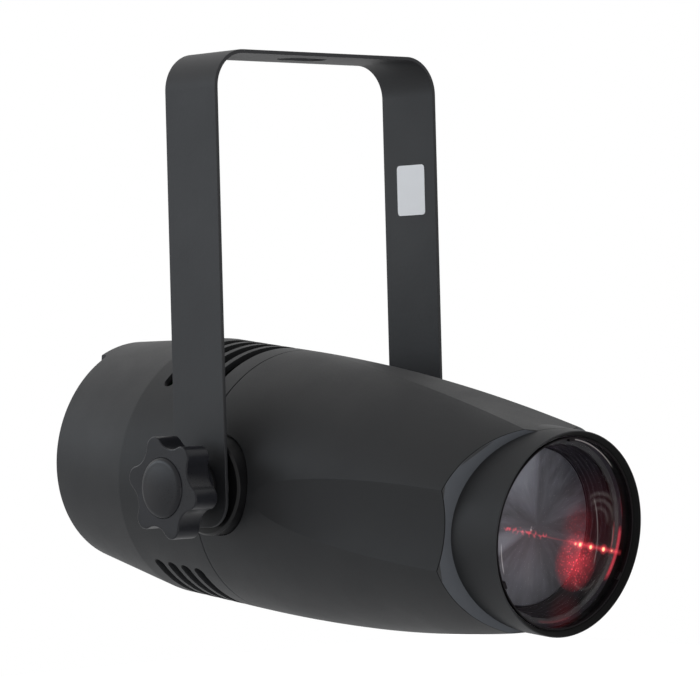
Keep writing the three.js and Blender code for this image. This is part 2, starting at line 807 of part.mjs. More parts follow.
function heatsink() {
  const shape = new THREE.Shape();
  const step = fullTurn / heatsinkFins;
  const rootTurn = Math.asin((finThickness * half) / heatsinkCoreRadius);
  const tipTurn = Math.asin((finThickness * half) / heatsinkRadius);
  for (let i = 0; i < heatsinkFins; i++) {
    const middle = i * step;
    const root = [[heatsinkCoreRadius, -rootTurn], [heatsinkCoreRadius, rootTurn]];
    const tip = [[heatsinkRadius, -tipTurn], [heatsinkRadius, tipTurn]];
    const corners = [root[0], ...tip, root[1]];
    corners.forEach(([r, turn], k) => {
      const x = r * Math.cos(middle + turn);
      const y = r * Math.sin(middle + turn);
      if (i + k === 0) shape.moveTo(x, y);
      else shape.lineTo(x, y);
    });
  }
  shape.closePath();
  return pushed(shape, heatsinkFront, heatsinkBack);
}

function chassisBracket() {
  const out = chassisHalfWidth;
  const inner = out - chassisThickness;
  const front = chassisFront;
  const back = front + chassisThickness;
  const shape = outline([[-out, chassisRearReach], [-out, front], [out, front], [out, chassisRearReach],
    [inner, chassisRearReach], [inner, back], [-inner, back], [-inner, chassisRearReach]]);
  const strip = raised(shape, -chassisStripWidth * half, chassisStripWidth * half);
  const bore = bar(insertRadius + seat, -barrelRadius, barrelRadius).rotateZ(quarterTurn);
  return cut(strip, bore.translate(0, 0, barrelDrop));
}

function pivotBoss() {
  const bore = insertRadius + seat;
  return turned([[bore, bossRoot], [bossRadius, bossRoot], [bossRadius, bossFace - bossChamfer],
    [bossRadius - bossChamfer, bossFace], [bore, bossFace], [bore, bossRoot]], ringSides);
}

const pivotInsert = () =>
  ring(studHole, insertRadius, chassisHalfWidth - chassisThickness - insertTail, bossFace - insertInset);

const frictionWasher = () =>
  ring(studHole, washerRadius, frictionFace, frictionFace + washerThickness, ringSides);

const knobStud = () => bar(studRadius, chassisHalfWidth - studTail, hubFace + studSink);

const knobWasher = () =>
  ring(studHole, knobWasherRadius, knobWasherFace, knobWasherFace + knobWasherThickness);

// Lobed outline of round tips and hollow valleys, each arc running smoothly into the next
function lobedOutline() {
  const step = fullTurn / knobLobes;
  const cosHalf = Math.cos(step * half);
  const lobe = knobLobeRadius;
  const centre = knobTipRadius - lobe;
  const inner = knobValleyRadius;
  const square = centre ** 2 + inner ** 2 - 2 * centre * inner * cosHalf - lobe ** 2;
  const valley = square / (2 * (lobe + centre * cosHalf - inner));
  const far = knobValleyRadius + valley;
  const turn = Math.atan2(far * Math.sin(step * half), far * cosHalf - centre);
  const shape = new THREE.Shape();
  for (let i = 0; i < knobLobes; i++) {
    const a = i * step;
    const b = a + step * half;
    const meet = a + turn + Math.PI;
    shape.absarc(centre * Math.cos(a), centre * Math.sin(a), lobe, a - turn, a + turn);
    shape.absarc(far * Math.cos(b), far * Math.sin(b), valley, meet, 2 * (b + Math.PI) - meet, true);
  }
  shape.closePath();
  return shape;
}

// Star knob: lobed head on a round hub, hollow for the stud and recessed for its cap
function starKnob() {
  const headSolid = new THREE.ExtrudeGeometry(lobedOutline(), {
    depth: knobThickness - knobEdge * 2,
    bevelThickness: knobEdge,
    bevelSize: knobEdge,
    bevelOffset: -knobEdge,
    bevelSegments: 1,
    curveSegments: arcSteps - 1,
  });
  headSolid.rotateZ(knobPhase * radians).rotateX(-quarterTurn).translate(0, knobBack + knobEdge, 0);
  const hub = bar(knobHubRadius, hubFace, knobBack + knobEdge);
  const recess = bar(capRadius + seat, knobFace - capRecess, knobFace + overrun, ringSides);
  const bore = bar(studHole, hubFace - overrun, hubFace + studSink + seat);
  return cut(joined(headSolid, hub), recess, bore);
}

// Shallow domed cap that closes the knob's face
function knobCap() {
  const foot = knobFace - capRecess + seat;
  const profile = [[0, foot], [capRadius, foot], [capRadius, knobFace]];
  for (let i = 1; i <= domeSteps; i++) {
    const angle = (i / domeSteps) * quarterTurn;
    profile.push([capRadius * Math.cos(angle), knobFace + capDome * Math.sin(angle)]);
  }
  return turned(profile, ringSides);
}

function shellScrew(turn) {
  const x = postCircle * Math.cos(turn);
  const z = postCircle * Math.sin(turn);
  const under = panelFace + seat;
  const shank = bar(screwRadius, seamBack - screwGrip, under + screwHeadHeight * half, smallSides);
  const cap = turned([
    [0, under],
    [screwHeadRadius, under],
    [screwHeadRadius, under + screwHeadHeight * half],
    [screwHeadRadius * half, under + screwHeadHeight],
    [0, under + screwHeadHeight],
  ], smallSides);
  return joined(shank, cap).translate(x, 0, z);
}

const buttonX = (i) => (i - (buttonCount - 1) * half) * buttonPitch;

function rearPanel() {
  const plate = bar(panelRadius, panelBack, panelFace, barrelSides);
  const y0 = panelBack - overrun;
  const y1 = panelFace + overrun;
  const window = pushed(roundedShape(displayWidth, displayHeight, displayCorner), y0, y1);
  const holes = [];
  for (let i = 0; i < buttonCount; i++) {
    holes.push(bar(buttonRadius + buttonGap, y0, y1, smallSides).translate(buttonX(i), 0, buttonRise));
  }
  for (const side of [-1, 1]) {
    holes.push(bar(socketRadius + seat, y0, y1).translate(side * socketSpread, 0, -socketDrop));
  }
  const inlet = roundedShape(inletWidth + seat * 2, inletHeight + seat * 2, inletCorner);
  holes.push(pushed(inlet, y0, y1).translate(0, 0, -inletDrop));
  return cut(plate, window.translate(0, 0, displayRise), ...holes, ...postBores(y0, y1));
}

function displayWindow() {
  const shape = roundedShape(displayWidth - seat * 2, displayHeight - seat * 2, displayCorner);
  return pushed(shape, panelBack, panelFace).translate(0, 0, displayRise);
}

function displayModule() {
  const body = block(displayWidth + moduleBorder * 2, moduleDepth, displayHeight + moduleBorder * 2);
  return body.translate(0, displayBack + moduleDepth * half, displayRise);
}

// Circuit board behind the panel, with one raised switch behind each button
function controlBoard() {
  const width = displayWidth + (moduleBorder + controlBoardMargin) * 2;
  const low = buttonRise - switchSide * half - controlBoardMargin * half;
  const high = displayRise + displayHeight * half + moduleBorder + controlBoardMargin;
  const board = block(width, boardThickness, high - low);
  board.translate(0, controlBoardFace - boardThickness * half, (high + low) * half);
  const parts = [board];
  const switchHeight = buttonBack - buttonTravel - seat - controlBoardFace;
  for (let i = 0; i < buttonCount; i++) {
    const body = block(switchSide, switchHeight + boardThickness * half, switchSide);
    body.translate(buttonX(i), controlBoardFace + (switchHeight - boardThickness * half) * half, buttonRise);
    parts.push(body);
  }
  return joined(...parts);
}

// Push button with a flange behind the panel that keeps it in
function pushButton() {
  const flangeFace = panelBack - seat;
  const top = panelFace + buttonProud;
  return turned([
    [0, buttonBack],
    [buttonFlangeRadius, buttonBack],
    [buttonFlangeRadius, flangeFace],
    [buttonRadius, flangeFace],
    [buttonRadius, top - buttonRound],
    [buttonRadius - buttonRound, top],
    [0, top],
  ]);
}

// Round three-pole socket: open barrel with pins, or with an insulator that takes them
function signalSocket(side, withPins) {
  const cavity = socketRadius - socketWall;
  const under = panelFace + seat;
  const face = under + socketFlangeThickness;
  const floor = face - socketCavity;
  const shell = turned([
    [0, panelFace - socketDepth],
    [socketRadius, panelFace - socketDepth],
    [socketRadius, under],
    [socketFlangeRadius, under],
    [socketFlangeRadius, face - seat],
    [socketFlangeRadius - seat, face],
    [cavity, face],
    [cavity, floor],
    [0, floor],
  ], ringSides);
  const rod = (radius, y0, y1) => [0, 1, 2].map((i) => {
    const turn = quarterTurn + (i * fullTurn) / 3;
    const pin = bar(radius, y0, y1, smallSides);
    return pin.translate(pinCircle * Math.cos(turn), 0, pinCircle * Math.sin(turn));
  });
  const core = bar(cavity - coreGap, floor - seat, face - seat * 2);
  const made = withPins
    ? joined(shell, ...rod(pinRadius, floor - seat, floor + pinLength))
    : cut(joined(shell, core), ...rod(pinHoleRadius, face - pinLength, face + overrun));
  return made.translate(side * socketSpread, 0, -socketDrop);
}

// Mains inlet: a rectangular well with three flat blades
function mainsInlet() {
  const under = panelFace + seat;
  const face = under + inletFlangeThickness;
  const grown = (by) => roundedShape(inletWidth + by * 2, inletHeight + by * 2, inletCorner);
  const body = pushed(grown(0), panelFace - inletDepth, under + seat);
  const flange = pushed(grown(inletFlange), under, face);
  const well = pushed(grown(-inletWall), face - inletCavity, face + overrun);
  const blades = [-1, 0, 1].map((i) => {
    const rise = i === 0 ? inletWall : -inletWall;
    const blade = block(bladeThickness, bladeLength + seat, bladeHeight);
    return blade.translate(i * bladeSpread, face - inletCavity + (bladeLength - seat) * half, rise);
  });
  return joined(cut(joined(body, flange), well), ...blades).translate(0, 0, -inletDrop);
}

const driverBoard = () => block(driverHalfWidth * 2, driverLength, boardThickness)
  .translate(0, driverFront + driverLength * half, driverBottom + boardThickness * half);

// Moves a piece from the origin to its place on the driver board, given in shares of the board
function onDriverBoard(geometry, [acrossShare, alongShare]) {
  const x = driverHalfWidth * acrossShare;
  const y = driverFront + driverLength * alongShare;
  return geometry.translate(x, y, driverTop + seat);
}

// Wound transformer: a laminated core whose winding stands proud in front and behind
function transformer() {
  const core = block(transformerWidth, transformerCore, transformerHeight);
  const winding = block(windingWidth, transformerLength, windingHeight);
  return onDriverBoard(joined(core, winding).translate(0, 0, transformerHeight * half), transformerShares);
}

const capacitor = () =>
  onDriverBoard(bar(capacitorRadius, 0, capacitorHeight).rotateX(quarterTurn), capacitorShares);

function choke() {
  const coil = new THREE.TorusGeometry(chokeRadius, chokeWire, smallSides, roundSides);
  return onDriverBoard(coil.translate(0, 0, chokeWire), chokeShares);
}

const driverChip = () =>
  onDriverBoard(block(chipSide, chipSide, chipHeight).translate(0, 0, chipHeight * half), chipShares);

place(light, "yoke_strap", yokeStrap(), blackSteel);

place(barrel, "front_shell", frontShell(), blackShell);
place(barrel, "rear_shell", rearShell(), blackShell);
place(barrel, "lens_retaining_ring", lensRing(), blackFlat);
place(barrel, "front_lens", frontLens(), clearLens);
place(barrel, "lens_gasket", lensGasket(), rubber);
place(barrel, "collimator_holder", collimatorHolder(), blackFlat);
place(barrel, "collimator_lens", collimator(), clearLens);
place(barrel, "led_emitter", ledEmitter(), ledSilicone);
place(barrel, "led_board", ledBoard(), whiteBoard);
place(barrel, "heatsink", heatsink(), aluminium);
place(barrel, "chassis_bracket", chassisBracket(), aluminium);
place(barrel, "rear_panel", rearPanel(), blackFlat);
place(barrel, "display_window", displayWindow(), smokeWindow);
place(barrel, "display_module", displayModule(), greenBoard);
place(barrel, "control_board", controlBoard(), greenBoard);
place(barrel, "signal_in_socket", signalSocket(1, true), blackGloss);
place(barrel, "signal_out_socket", signalSocket(-1, false), blackGloss);
place(barrel, "mains_inlet", mainsInlet(), blackGloss);
place(barrel, "driver_board", driverBoard(), greenBoard);
place(barrel, "transformer", transformer(), yellowTape);
place(barrel, "smoothing_capacitor", capacitor(), blackGloss);
place(barrel, "filter_choke", choke(), brass);
place(barrel, "driver_chip", driverChip(), blackFlat);
["menu_button", "down_button", "up_button", "enter_button"].forEach((name, i) =>
  place(barrel, name, pushButton().translate(buttonX(i), 0, buttonRise), rubber));
postTurns.forEach((turn, i) => place(barrel, `shell_screw_${i + 1}`, shellScrew(turn), bareSteel));

for (const [name, side] of [["left", 1], ["right", -1]]) {
  const outwards = (geometry) => geometry.rotateZ(side * quarterTurn);
  place(head, `${name}_pivot_boss`, outwards(pivotBoss()), blackShell);
  place(head, `${name}_threaded_insert`, outwards(pivotInsert()), brass);
  place(head, `${name}_friction_washer`, outwards(frictionWasher()), rubber);
  place(head, `${name}_knob_washer`, outwards(knobWasher()), bareSteel);
  place(head, `${name}_knob_stud`, outwards(knobStud()), bareSteel);
  place(head, `${name}_star_knob`, outwards(starKnob()), blackGloss);
  place(head, `${name}_knob_cap`, outwards(knobCap()), blackGloss);
}

export default light;
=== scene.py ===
"""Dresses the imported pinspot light: moulded shells, bent yoke, star knobs, lens group and rear controls."""

import json
import math
from contextlib import contextmanager
from functools import partialmethod, reduce

import bmesh
import bpy
from mathutils import Matrix, Vector


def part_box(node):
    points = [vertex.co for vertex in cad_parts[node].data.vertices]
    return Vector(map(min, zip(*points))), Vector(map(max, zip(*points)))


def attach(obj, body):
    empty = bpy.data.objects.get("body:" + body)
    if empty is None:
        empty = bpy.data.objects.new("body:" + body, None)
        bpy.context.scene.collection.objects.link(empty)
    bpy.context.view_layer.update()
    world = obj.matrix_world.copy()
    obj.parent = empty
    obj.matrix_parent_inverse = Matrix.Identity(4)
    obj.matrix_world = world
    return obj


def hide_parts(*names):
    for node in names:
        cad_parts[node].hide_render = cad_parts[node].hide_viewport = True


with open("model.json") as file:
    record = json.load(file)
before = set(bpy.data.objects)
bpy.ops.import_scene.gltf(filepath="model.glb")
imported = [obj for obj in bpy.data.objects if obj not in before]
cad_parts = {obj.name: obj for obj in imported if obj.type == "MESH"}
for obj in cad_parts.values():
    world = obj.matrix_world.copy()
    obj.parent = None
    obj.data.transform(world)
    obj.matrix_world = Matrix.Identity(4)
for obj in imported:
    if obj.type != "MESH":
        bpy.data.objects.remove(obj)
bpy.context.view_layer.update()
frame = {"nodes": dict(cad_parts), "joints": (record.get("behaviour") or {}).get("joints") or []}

bl_info = {
    "name": "Pinspot Light",
    "version": (1, 0, 0),
    "blender": (4, 5, 0),
    "location": "View3D > Sidebar > Pinspot",
    "description": "Models and dresses a pinspot light round its packed frame",
    "category": "Object",
}

QUARTER = math.pi / 2
TURN = math.pi * 2
HALF = 0.5
MM = 0.001
MERGE = MM * MM
NEAR = 0.1 * MM
FLAT_ANGLE = math.radians(0.5)
WHITE = (1.0, 1.0, 1.0, 1.0)
# Facets round turned pieces and tools
FACETS = {"wide": 120, "hub": 96, "bore": 48, "stud": 40, "pin": 24}
# Where a rounding of two facets has its middle, over its width
ARC_MIDDLE = 0.3
# Shares of the nose section's quarter at which the scoop and the oval end
SCOOP_PART = 0.2
OVAL_PART = 0.9
# Least reach of the scoop and of the flat, over the rounding of edges
LEAST_SCOOP = 8
LEAST_FLAT = 6
HALVINGS = 40
# Paler tone of the cheek faces: painted highlight
PAINTED_CHEEK_HIGHLIGHT_TONE = (0.044, 0.049, 0.058)

# Places read from the frame
JOINTS = {joint["name"]: joint for joint in frame["joints"]}
PIVOT = Vector(JOINTS["head_tilt"]["pos_m"])
PRESS = Vector(JOINTS["menu_press"]["axis"])
TILT = math.atan2(-PRESS.z, -PRESS.y)
BARREL_DROP = 1.8 * MM
BARREL = (
    Matrix.Translation(PIVOT)
    @ Matrix.Rotation(TILT, 4, "X")
    @ Matrix.Translation((0, 0, -BARREL_DROP))
)
TO_BARREL = BARREL.inverted()
SIDES = {"left": -1, "right": 1}


def reach(node):
    """How far a node lies from the middle along X, nearest and farthest."""
    low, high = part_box(node)
    return sorted((abs(low.x), abs(high.x)))


def in_barrel(node):
    """A node's vertices in the barrel's own axes."""
    return [TO_BARREL @ vertex.co for vertex in frame["nodes"][node].data.vertices]


def along_barrel(node):
    """Where a node begins and ends along the barrel's axis."""
    places = [place.y for place in in_barrel(node)]
    return min(places), max(places)


def round_barrel(node):
    """Largest distance of a node from the barrel's axis."""
    return max(math.hypot(place.x, place.z) for place in in_barrel(node))


def middle_of(node):
    """Middle of a node's box in the barrel's own axes."""
    low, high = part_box(node)
    return TO_BARREL @ ((low + high) * HALF)


def length(name, value, words):
    """A size that is given in millimetres and that the panel shows."""
    return bpy.props.FloatProperty(
        name=name, description=words, default=value * MM, unit="LENGTH", precision=5
    )


def angle(name, degrees, words):
    return bpy.props.FloatProperty(
        name=name, description=words, default=math.radians(degrees), unit="ROTATION", subtype="ANGLE"
    )


def number(name, value, words):
    return bpy.props.FloatProperty(name=name, description=words, default=value, precision=4)


def count(name, value, words):
    return bpy.props.IntProperty(name=name, description=words, default=value, min=1)


def colour(name, value, words):
    return bpy.props.FloatVectorProperty(
        name=name, description=words, default=value, size=3, subtype="COLOR", min=0, max=1
    )


class PinspotShellSizes(bpy.types.PropertyGroup):
    """Front and rear shell; lengths along the barrel are measured from the tilt axis"""

    sides: count("Sides", 160, "Facets round each shell")
    rings: count("Rings", 63, "Rings along the nose")
    barrel_radius: length("Barrel radius", 52.5, "Round part of the barrel")
    wall: length("Wall", 2.5, "Thickness of the shells")
    seam_back: length("Seam", 10.5, "Joint between the shells, behind the tilt axis")
    seam_gap: length("Seam gap", 0.4, "Open line between the shells")
    edge_round: length("Edge round", 0.35, "Rounding of moulded edges")
    nose_length: length("Nose", 142.36, "Tilt axis to the front rim")
    taper_length: length("Taper", 140, "Seam to where the oval's drops are reached")
    tall_drop: length("Height drop", 12.1, "Half height that the oval loses")
    wide_drop: length("Width drop", 7.4, "Half width that the oval loses")
    collar_radius: length("Collar radius", 38.76, "Collar at its rim")
    collar_draft: length("Collar draft", 0.5, "How much larger the collar is at its root")
    collar_wall: length("Collar wall", 2.2, "Wall of the collar")
    rim_width: length("Rim width", 0.4, "Flat of the front rim, round its flared mouth")
    rim_flare: length("Rim flare", 3, "Depth of the flared mouth")
    ledge_back: length("Ledge back", 3.1, "Ledge behind the holder's front")
    ledge_length: length("Ledge length", 3, "Length of the ledge that the holder rests on")
    ledge_height: length("Ledge height", 2.3, "Height of the ledge over the collar's bore")
    cheek_forward: length("Cheek", 119.6, "Where each cheek meets the collar's side")
    cheek_angle: angle("Cheek angle", 23, "How far each cheek slants back")
    flat_start: length("Flat start", 17, "Where the flats open")
    flat_end: length("Flat end", 130, "Where the flats reach their full width")
    flat_half_width: length("Flat half width", 14.4, "Half the flats' full width")
    scoop_radius: length("Scoop radius", 61, "Hollow in each side")
    scoop_rear: length("Scoop rear", 30, "Where the scoop's floor is given at the rear")
    scoop_front: length("Scoop front", 130, "Where it is given at the front")
    scoop_rear_depth: length("Scoop depth", 1.3, "Floor below the barrel at the rear")
    scoop_front_proud: length("Scoop proud", 1.3, "Floor above the collar at the front")
    crease_back: length("Crease", 57.6, "Where the rear shell starts to taper")
    rear_radius: length("Rear radius", 46.1, "Rear shell at its rim")
    rear_length: length("Rear", 105.8, "Tilt axis to the rear rim")
    hood_length: length("Hood length", 5, "Tongue over the panel")
    hood_half_width: length("Hood half width", 21, "Half the tongue's width")
    hood_corner: length("Hood corner", 3, "Rounding at the tongue's root and tip")
    vent_count: count("Vents", 4, "Vents above and below")
    vent_first: length("First vent", 22.3, "First vent behind the tilt axis")
    vent_pitch: length("Vent pitch", 8.15, "Distance between vents")
    vent_width: length("Vent width", 5.5, "Width of one vent")
    vent_half_angle: angle("Vent half angle", 48.3, "Reach of a vent each side of the middle")
    vent_steps: count("Vent steps", 24, "Facets along each vent")
    boss_hole_gap: length("Boss gap", 0.35, "Open line round each boss")


class PinspotYokeSizes(bpy.types.PropertyGroup):
    """Yoke strap and its blank label"""

    strap_width: length("Strap width", 30, "Width of the flat steel")
    strap_thickness: length("Strap thickness", 1.5, "Thickness of the flat steel")
    bend_radius: length("Bend radius", 15, "Outer radius of the bends")
    arm_end_drop: length("Arm end", 16.1, "Arm below the tilt axis")
    arm_corner: length("Arm corner", 10.5, "Rounding of the arms' ends")
    slot_length: length("Slot length", 23, "Hanging slot")
    slot_width: length("Slot width", 10.5, "Hanging slot")
    pivot_hole: length("Pivot hole", 4.35, "Radius of the hole for each stud")
    edge_round: length("Edge round", 0.28, "Rounding of the strap's edges")
    bend_steps: count("Bend steps", 20, "Facets round each bend")
    label_width: length("Label width", 16, "Blank label inside one arm")
    label_height: length("Label height", 20.5, "Blank label inside one arm")
    label_drop: length("Label drop", 53, "Label's middle below the crossbar")
    label_shift: length("Label shift", -0.9, "Label's middle off the arm's middle")
    label_corner: length("Label corner", 1.5, "Rounding of the label")
    label_thickness: length("Label thickness", 0.15, "Film of the label")


class PinspotKnobSizes(bpy.types.PropertyGroup):
    """Pivot bosses and star knobs"""

    boss_radius: length("Boss radius", 19.4, "Round boss in the barrel's side")
    boss_chamfer: length("Boss chamfer", 0.7, "Edge of the boss")
    boss_bore: length("Boss bore", 6.3, "Bore round the insert")
    sides: count("Sides", 216, "Facets round the lobes")
    tip_radius: length("Tip radius", 20.4, "Knob over its lobes")
    valley_radius: length("Valley radius", 15.6, "Knob between its lobes")
    lobe_radius: length("Lobe radius", 4.5, "Rounding of one lobe")
    lobes: count("Lobes", 6, "Lobes of a knob")
    phase: angle("Phase", -14, "Turn of the lobes")
    head_thickness: length("Head", 11, "Thickness of the lobed head")
    edge: length("Knob edge", 0.6, "Rounding of the lobed edges")
    hub_radius: length("Hub radius", 10.5, "Round hub behind the head")
    cap_radius: length("Cap radius", 11.7, "Domed cap")
    cap_groove: length("Cap groove", 0.08, "Open line round the cap")
    cap_recess: length("Cap recess", 1.2, "Depth of the cap's seat")
    cap_dome: length("Cap dome", 1.8, "Height of the cap's dome")
    cap_shoulder: length("Cap shoulder", 2.6, "Width of the cap's rounded edge")
    cap_step: length("Cap step", 1.25, "Height of the cap's rounded edge")
    stud_radius: length("Stud radius", 4, "Threaded stud")
    stud_gap: length("Stud gap", 0.35, "Open line round the stud in the knob")
    stud_bore: length("Stud bore", 9.3, "Depth of the stud's bore in the knob")
    thread_pitch: length("Thread pitch", 1.25, "Pitch of the stud's thread")
    thread_depth: length("Thread depth", 0.35, "Depth of the stud's thread")


class PinspotLensSizes(bpy.types.PropertyGroup):
    """Lens group behind the front rim"""

    sides: count("Sides", 120, "Facets round the lenses")
    ring_width: length("Ring width", 0.7, "Retaining ring")
    tabs: count("Tabs", 3, "Small tabs over the lens")
    tab_reach: length("Tab reach", 1, "Small tabs over the lens")
    tab_width: length("Tab width", 3, "Small tabs over the lens")
    dome: length("Dome", 4.2, "Height of the front lens's dome")
    edge: length("Lens edge", 3, "Thickness of the lens's edge")
    forward: length("Lens forward", 1.8, "Ring, lens and holder nearer to the rim, as in the photo")
    collimator_back: length("Collimator back", 2.2, "Cone further back, as in the photo")
    collimator_radius: length("Collimator radius", 30, "Clear cone's front face")
    collimator_rim: length("Collimator rim", 2, "Straight rim of the cone")
    collimator_edge: length("Collimator edge", 0.3, "Rounding of the cone's rim")
    collimator_hollow: length("Collimator hollow", 0.8, "Depth of the cone's hollow face")
    collimator_tail: length("Collimator tail", 8, "Radius at the light source")
    baffle_depth: length("Baffle depth", 12.5, "Stepped funnel in front of the collimator")
    baffle_steps: count("Baffle steps", 7, "Steps of the funnel")
    holder_gap: length("Holder gap", 0.3, "Open line round the cone, and the slant of the steps")
    holder_wall: length("Holder wall", 1.6, "Wall of the holder")
    holder_rim: length("Holder rim", 2.8, "Length of the holder's rim")
    holder_land: length("Holder land", 1.4, "Flat round the funnel's mouth")


class PinspotFinish(bpy.types.PropertyGroup):
    """Colours and roughness of the light's finishes"""

    shell: colour("Shell", (0.0080, 0.0084, 0.0094), "Black moulded plastic")
    paint: colour("Paint", (0.0078, 0.0082, 0.0096), "Black powder coat")
    knob: colour("Knob", (0.0085, 0.0088, 0.0110), "Semi-gloss black plastic")
    # Black plastic made darker than the shell's: painted shade on the bosses, which sit in the shadow of the
    # arms and knobs; the blackened washers share this colour
    boss: colour("Boss", (0.0015, 0.0015, 0.0018), "Deep black plastic of the pivot bosses")
    funnel: colour("Funnel", (0.014, 0.012, 0.0148), "Stepped funnel behind the lens")
    baffle: colour("Baffle", (0.0030, 0.0022, 0.0028), "Dull black plastic")
    label: colour("Label", (0.86, 0.87, 0.89), "Blank white film")
    glow: colour("Glow", (1.0, 0.07, 0.10), "Light of the source")
    shell_roughness: number("Shell roughness", 0.56, "Sheen of the shells")
    paint_roughness: number("Paint roughness", 0.54, "Sheen of the paint")
    knob_roughness: number("Knob roughness", 0.34, "Sheen of the knobs")


class PinspotStageSizes(bpy.types.PropertyGroup):
    """Camera, lamps and floor"""

    distance: length("Distance", 1500, "Camera to the tilt axis")
    azimuth: angle("Azimuth", -42.56, "Camera round the barrel")
    elevation: angle("Elevation", 7.23, "Camera above the barrel's axis")
    yaw: angle("Yaw", -0.57, "Aim to the side")
    pitch: angle("Pitch", -2.04, "Aim up or down")
    roll: angle("Roll", 3.3, "Turn of the picture")
    focal: number("Focal length", 193.57, "Millimetres, for a 36 mm sensor")
    floor_drop: length("Floor", 550, "Floor below the crossbar")
    lamp_power: number("Lamp power", 0.6, "Watts of the main soft lamp")
    fill_share: number("Fill share", 6.5, "Front lamp over the first")
    side_share: number("Side share", 6.0, "Side lamp over the first")
    world: number("World", 0.6, "Light from all round")


# Pale fans of painted light in the clear cone: direction in degrees, narrowness and strength
PAINTED_LIGHT_FANS = ((118, 0.90, 0.9), (196, 0.975, 1.6), (252, 0.94, 0.3))
# Tones of the hot cores of the painted reflection dots and of the pale painted highlight arcs on the lens
PAINTED_DOT_CORE_TONE = (0.9, 0.62, 0.28)
PAINTED_HIGHLIGHT_TONE = (0.9, 0.85, 0.8)
# Centre across and up, half width and half height of the speckled patch of painted red glow, in millimetres
PAINTED_GLOW_PATCH = (10.4, -11.6, 10.0, 10.2)
# Painted reflections of the source on the lens's rear face, in millimetres: across, up, radius and strength of
# each dot
PAINTED_REFLECTION_DOTS = (
    (9.8, -4.9, 0.6, 0.9),
    (12.3, -5.3, 0.95, 1.4),
    (18.1, -6.6, 0.95, 1.4),
    (25.2, -7.8, 1.0, 1.4),
    (29.8, -8.6, 0.6, 0.6),
)
# Centre across and up, radius, half width, reach across and up, and strength of each thin painted highlight
# arc
PAINTED_HIGHLIGHT_ARCS = (
    (-18.5, -4.0, 40.0, 0.35, 10.0, 30.0, -12.0, 11.0, 0.14),
    (-10.5, -4.0, 40.3, 0.35, 20.0, 35.0, -6.0, 0.0, 0.1),
    (7.7, -1.0, 37.1, 0.3, -33.0, -25.0, -13.0, -4.0, 0.35),
    (1.0, -0.4, 35.3, 0.3, 5.0, 26.0, 24.0, 36.0, 0.3),
    (21.0, 2.6, 11.0, 1.1, 17.0, 27.0, 5.0, 20.0, 0.045),
    (21.0, 2.6, 8.4, 1.1, 18.0, 28.0, 4.0, 20.0, 0.045),
    (21.0, 2.6, 5.4, 1.1, 20.0, 28.0, 3.0, 20.0, 0.04),
    (16.0, -16.0, 6.4, 0.8, 10.0, 21.0, -30.0, -20.0, 0.03),
    (0.0, 0.0, 31.8, 1.6, 14.0, 34.0, -26.0, 12.0, 0.018),
    (-2.0, 0.0, 31.0, 2.2, 12.0, 31.0, -24.0, 8.0, 0.012),
    (0.0, 0.0, 20.0, 20.0, -16.0, 32.0, -34.0, -6.0, 0.010),
    (-14.4, 1.6, 0.0, 0.7, -16.0, -12.0, 0.0, 4.0, 0.4),
    (-14.2, 2.6, 0.0, 0.5, -16.0, -12.0, 0.0, 4.0, 0.2),
)
# The same for the red streaks of painted reflection by the rim
PAINTED_REFLECTION_STREAKS = (
    (0.0, 0.0, 33.6, 1.2, 26.0, 36.0, -17.0, -2.0, 0.55),
    (0.0, 0.0, 30.2, 0.5, 26.0, 33.0, -8.0, 0.0, 0.2),
    (0.0, 0.0, 34.6, 0.5, 28.0, 36.0, 6.0, 9.0, 0.06),
    (0.0, 0.0, 33.8, 0.6, -6.0, 8.0, -36.0, -28.0, 0.06),
)

GROUPS = {
    "pinspot_shell": PinspotShellSizes,
    "pinspot_yoke": PinspotYokeSizes,
    "pinspot_knob": PinspotKnobSizes,
    "pinspot_lens": PinspotLensSizes,
    "pinspot_finish": PinspotFinish,
    "pinspot_stage": PinspotStageSizes,
}


def sizes(group):
    return getattr(bpy.context.scene, f"pinspot_{group}")


# Modelling steps shared by the pieces


def take(piece):
    """Makes one object the only selected one and the active one."""
    bpy.ops.object.select_all(action="DESELECT")
    piece.select_set(True)
    bpy.context.view_layer.objects.active = piece


def apply_place(piece):
    take(piece)
    bpy.ops.object.transform_apply(location=True, rotation=True, scale=True)
    return piece


def moved(piece, matrix):
    piece.matrix_world = matrix @ piece.matrix_world
    return apply_place(piece)


def added(name, shape, scale=(1, 1, 1), **values):
    """Adds a mesh primitive, names it and applies its place and scale."""
    bpy.ops.object.select_all(action="DESELECT")
    getattr(bpy.ops.mesh, f"primitive_{shape}_add")(**values)
    piece = bpy.context.object
    piece.name = name
    piece.data.name = name
    piece.scale = scale
    return apply_place(piece)


@contextmanager
def editing(piece):
    take(piece)
    bpy.ops.object.mode_set(mode="EDIT")
    bpy.ops.mesh.select_all(action="SELECT")
    yield
    bpy.ops.object.mode_set(mode="OBJECT")


def pick(piece, test):
    """In edit mode, selects the edges that pass a test."""
    bpy.ops.mesh.select_mode(type="EDGE")
    bpy.ops.mesh.select_all(action="DESELECT")
    mesh = bmesh.from_edit_mesh(piece.data)
    for edge in mesh.edges:
        if test(edge):
            edge.select_set(True)
    mesh.select_flush_mode()
    bmesh.update_edit_mesh(piece.data)


def run(edge):
    """An edge as a vector."""
    return edge.verts[0].co - edge.verts[1].co


def rounded(piece, width, segments, test):
    """Bevels the edges that pass a test."""
    with editing(piece):
        pick(piece, test)
        bpy.ops.mesh.bevel(offset=width, segments=segments)
    return piece


def extrude(*step):
    bpy.ops.mesh.extrude_region_move(TRANSFORM_OT_translate={"value": step})


def on_all(step, **values):
    """In edit mode, selects everything and runs one mesh step on it."""
    bpy.ops.mesh.select_all(action="SELECT")
    getattr(bpy.ops.mesh, step)(**values)


def closed_up():
    """In edit mode, merges doubles, fills open ends and turns every face outwards."""
    on_all("remove_doubles", threshold=MERGE)
    on_all("fill_holes", sides=0)
    on_all("normals_make_consistent", inside=False)


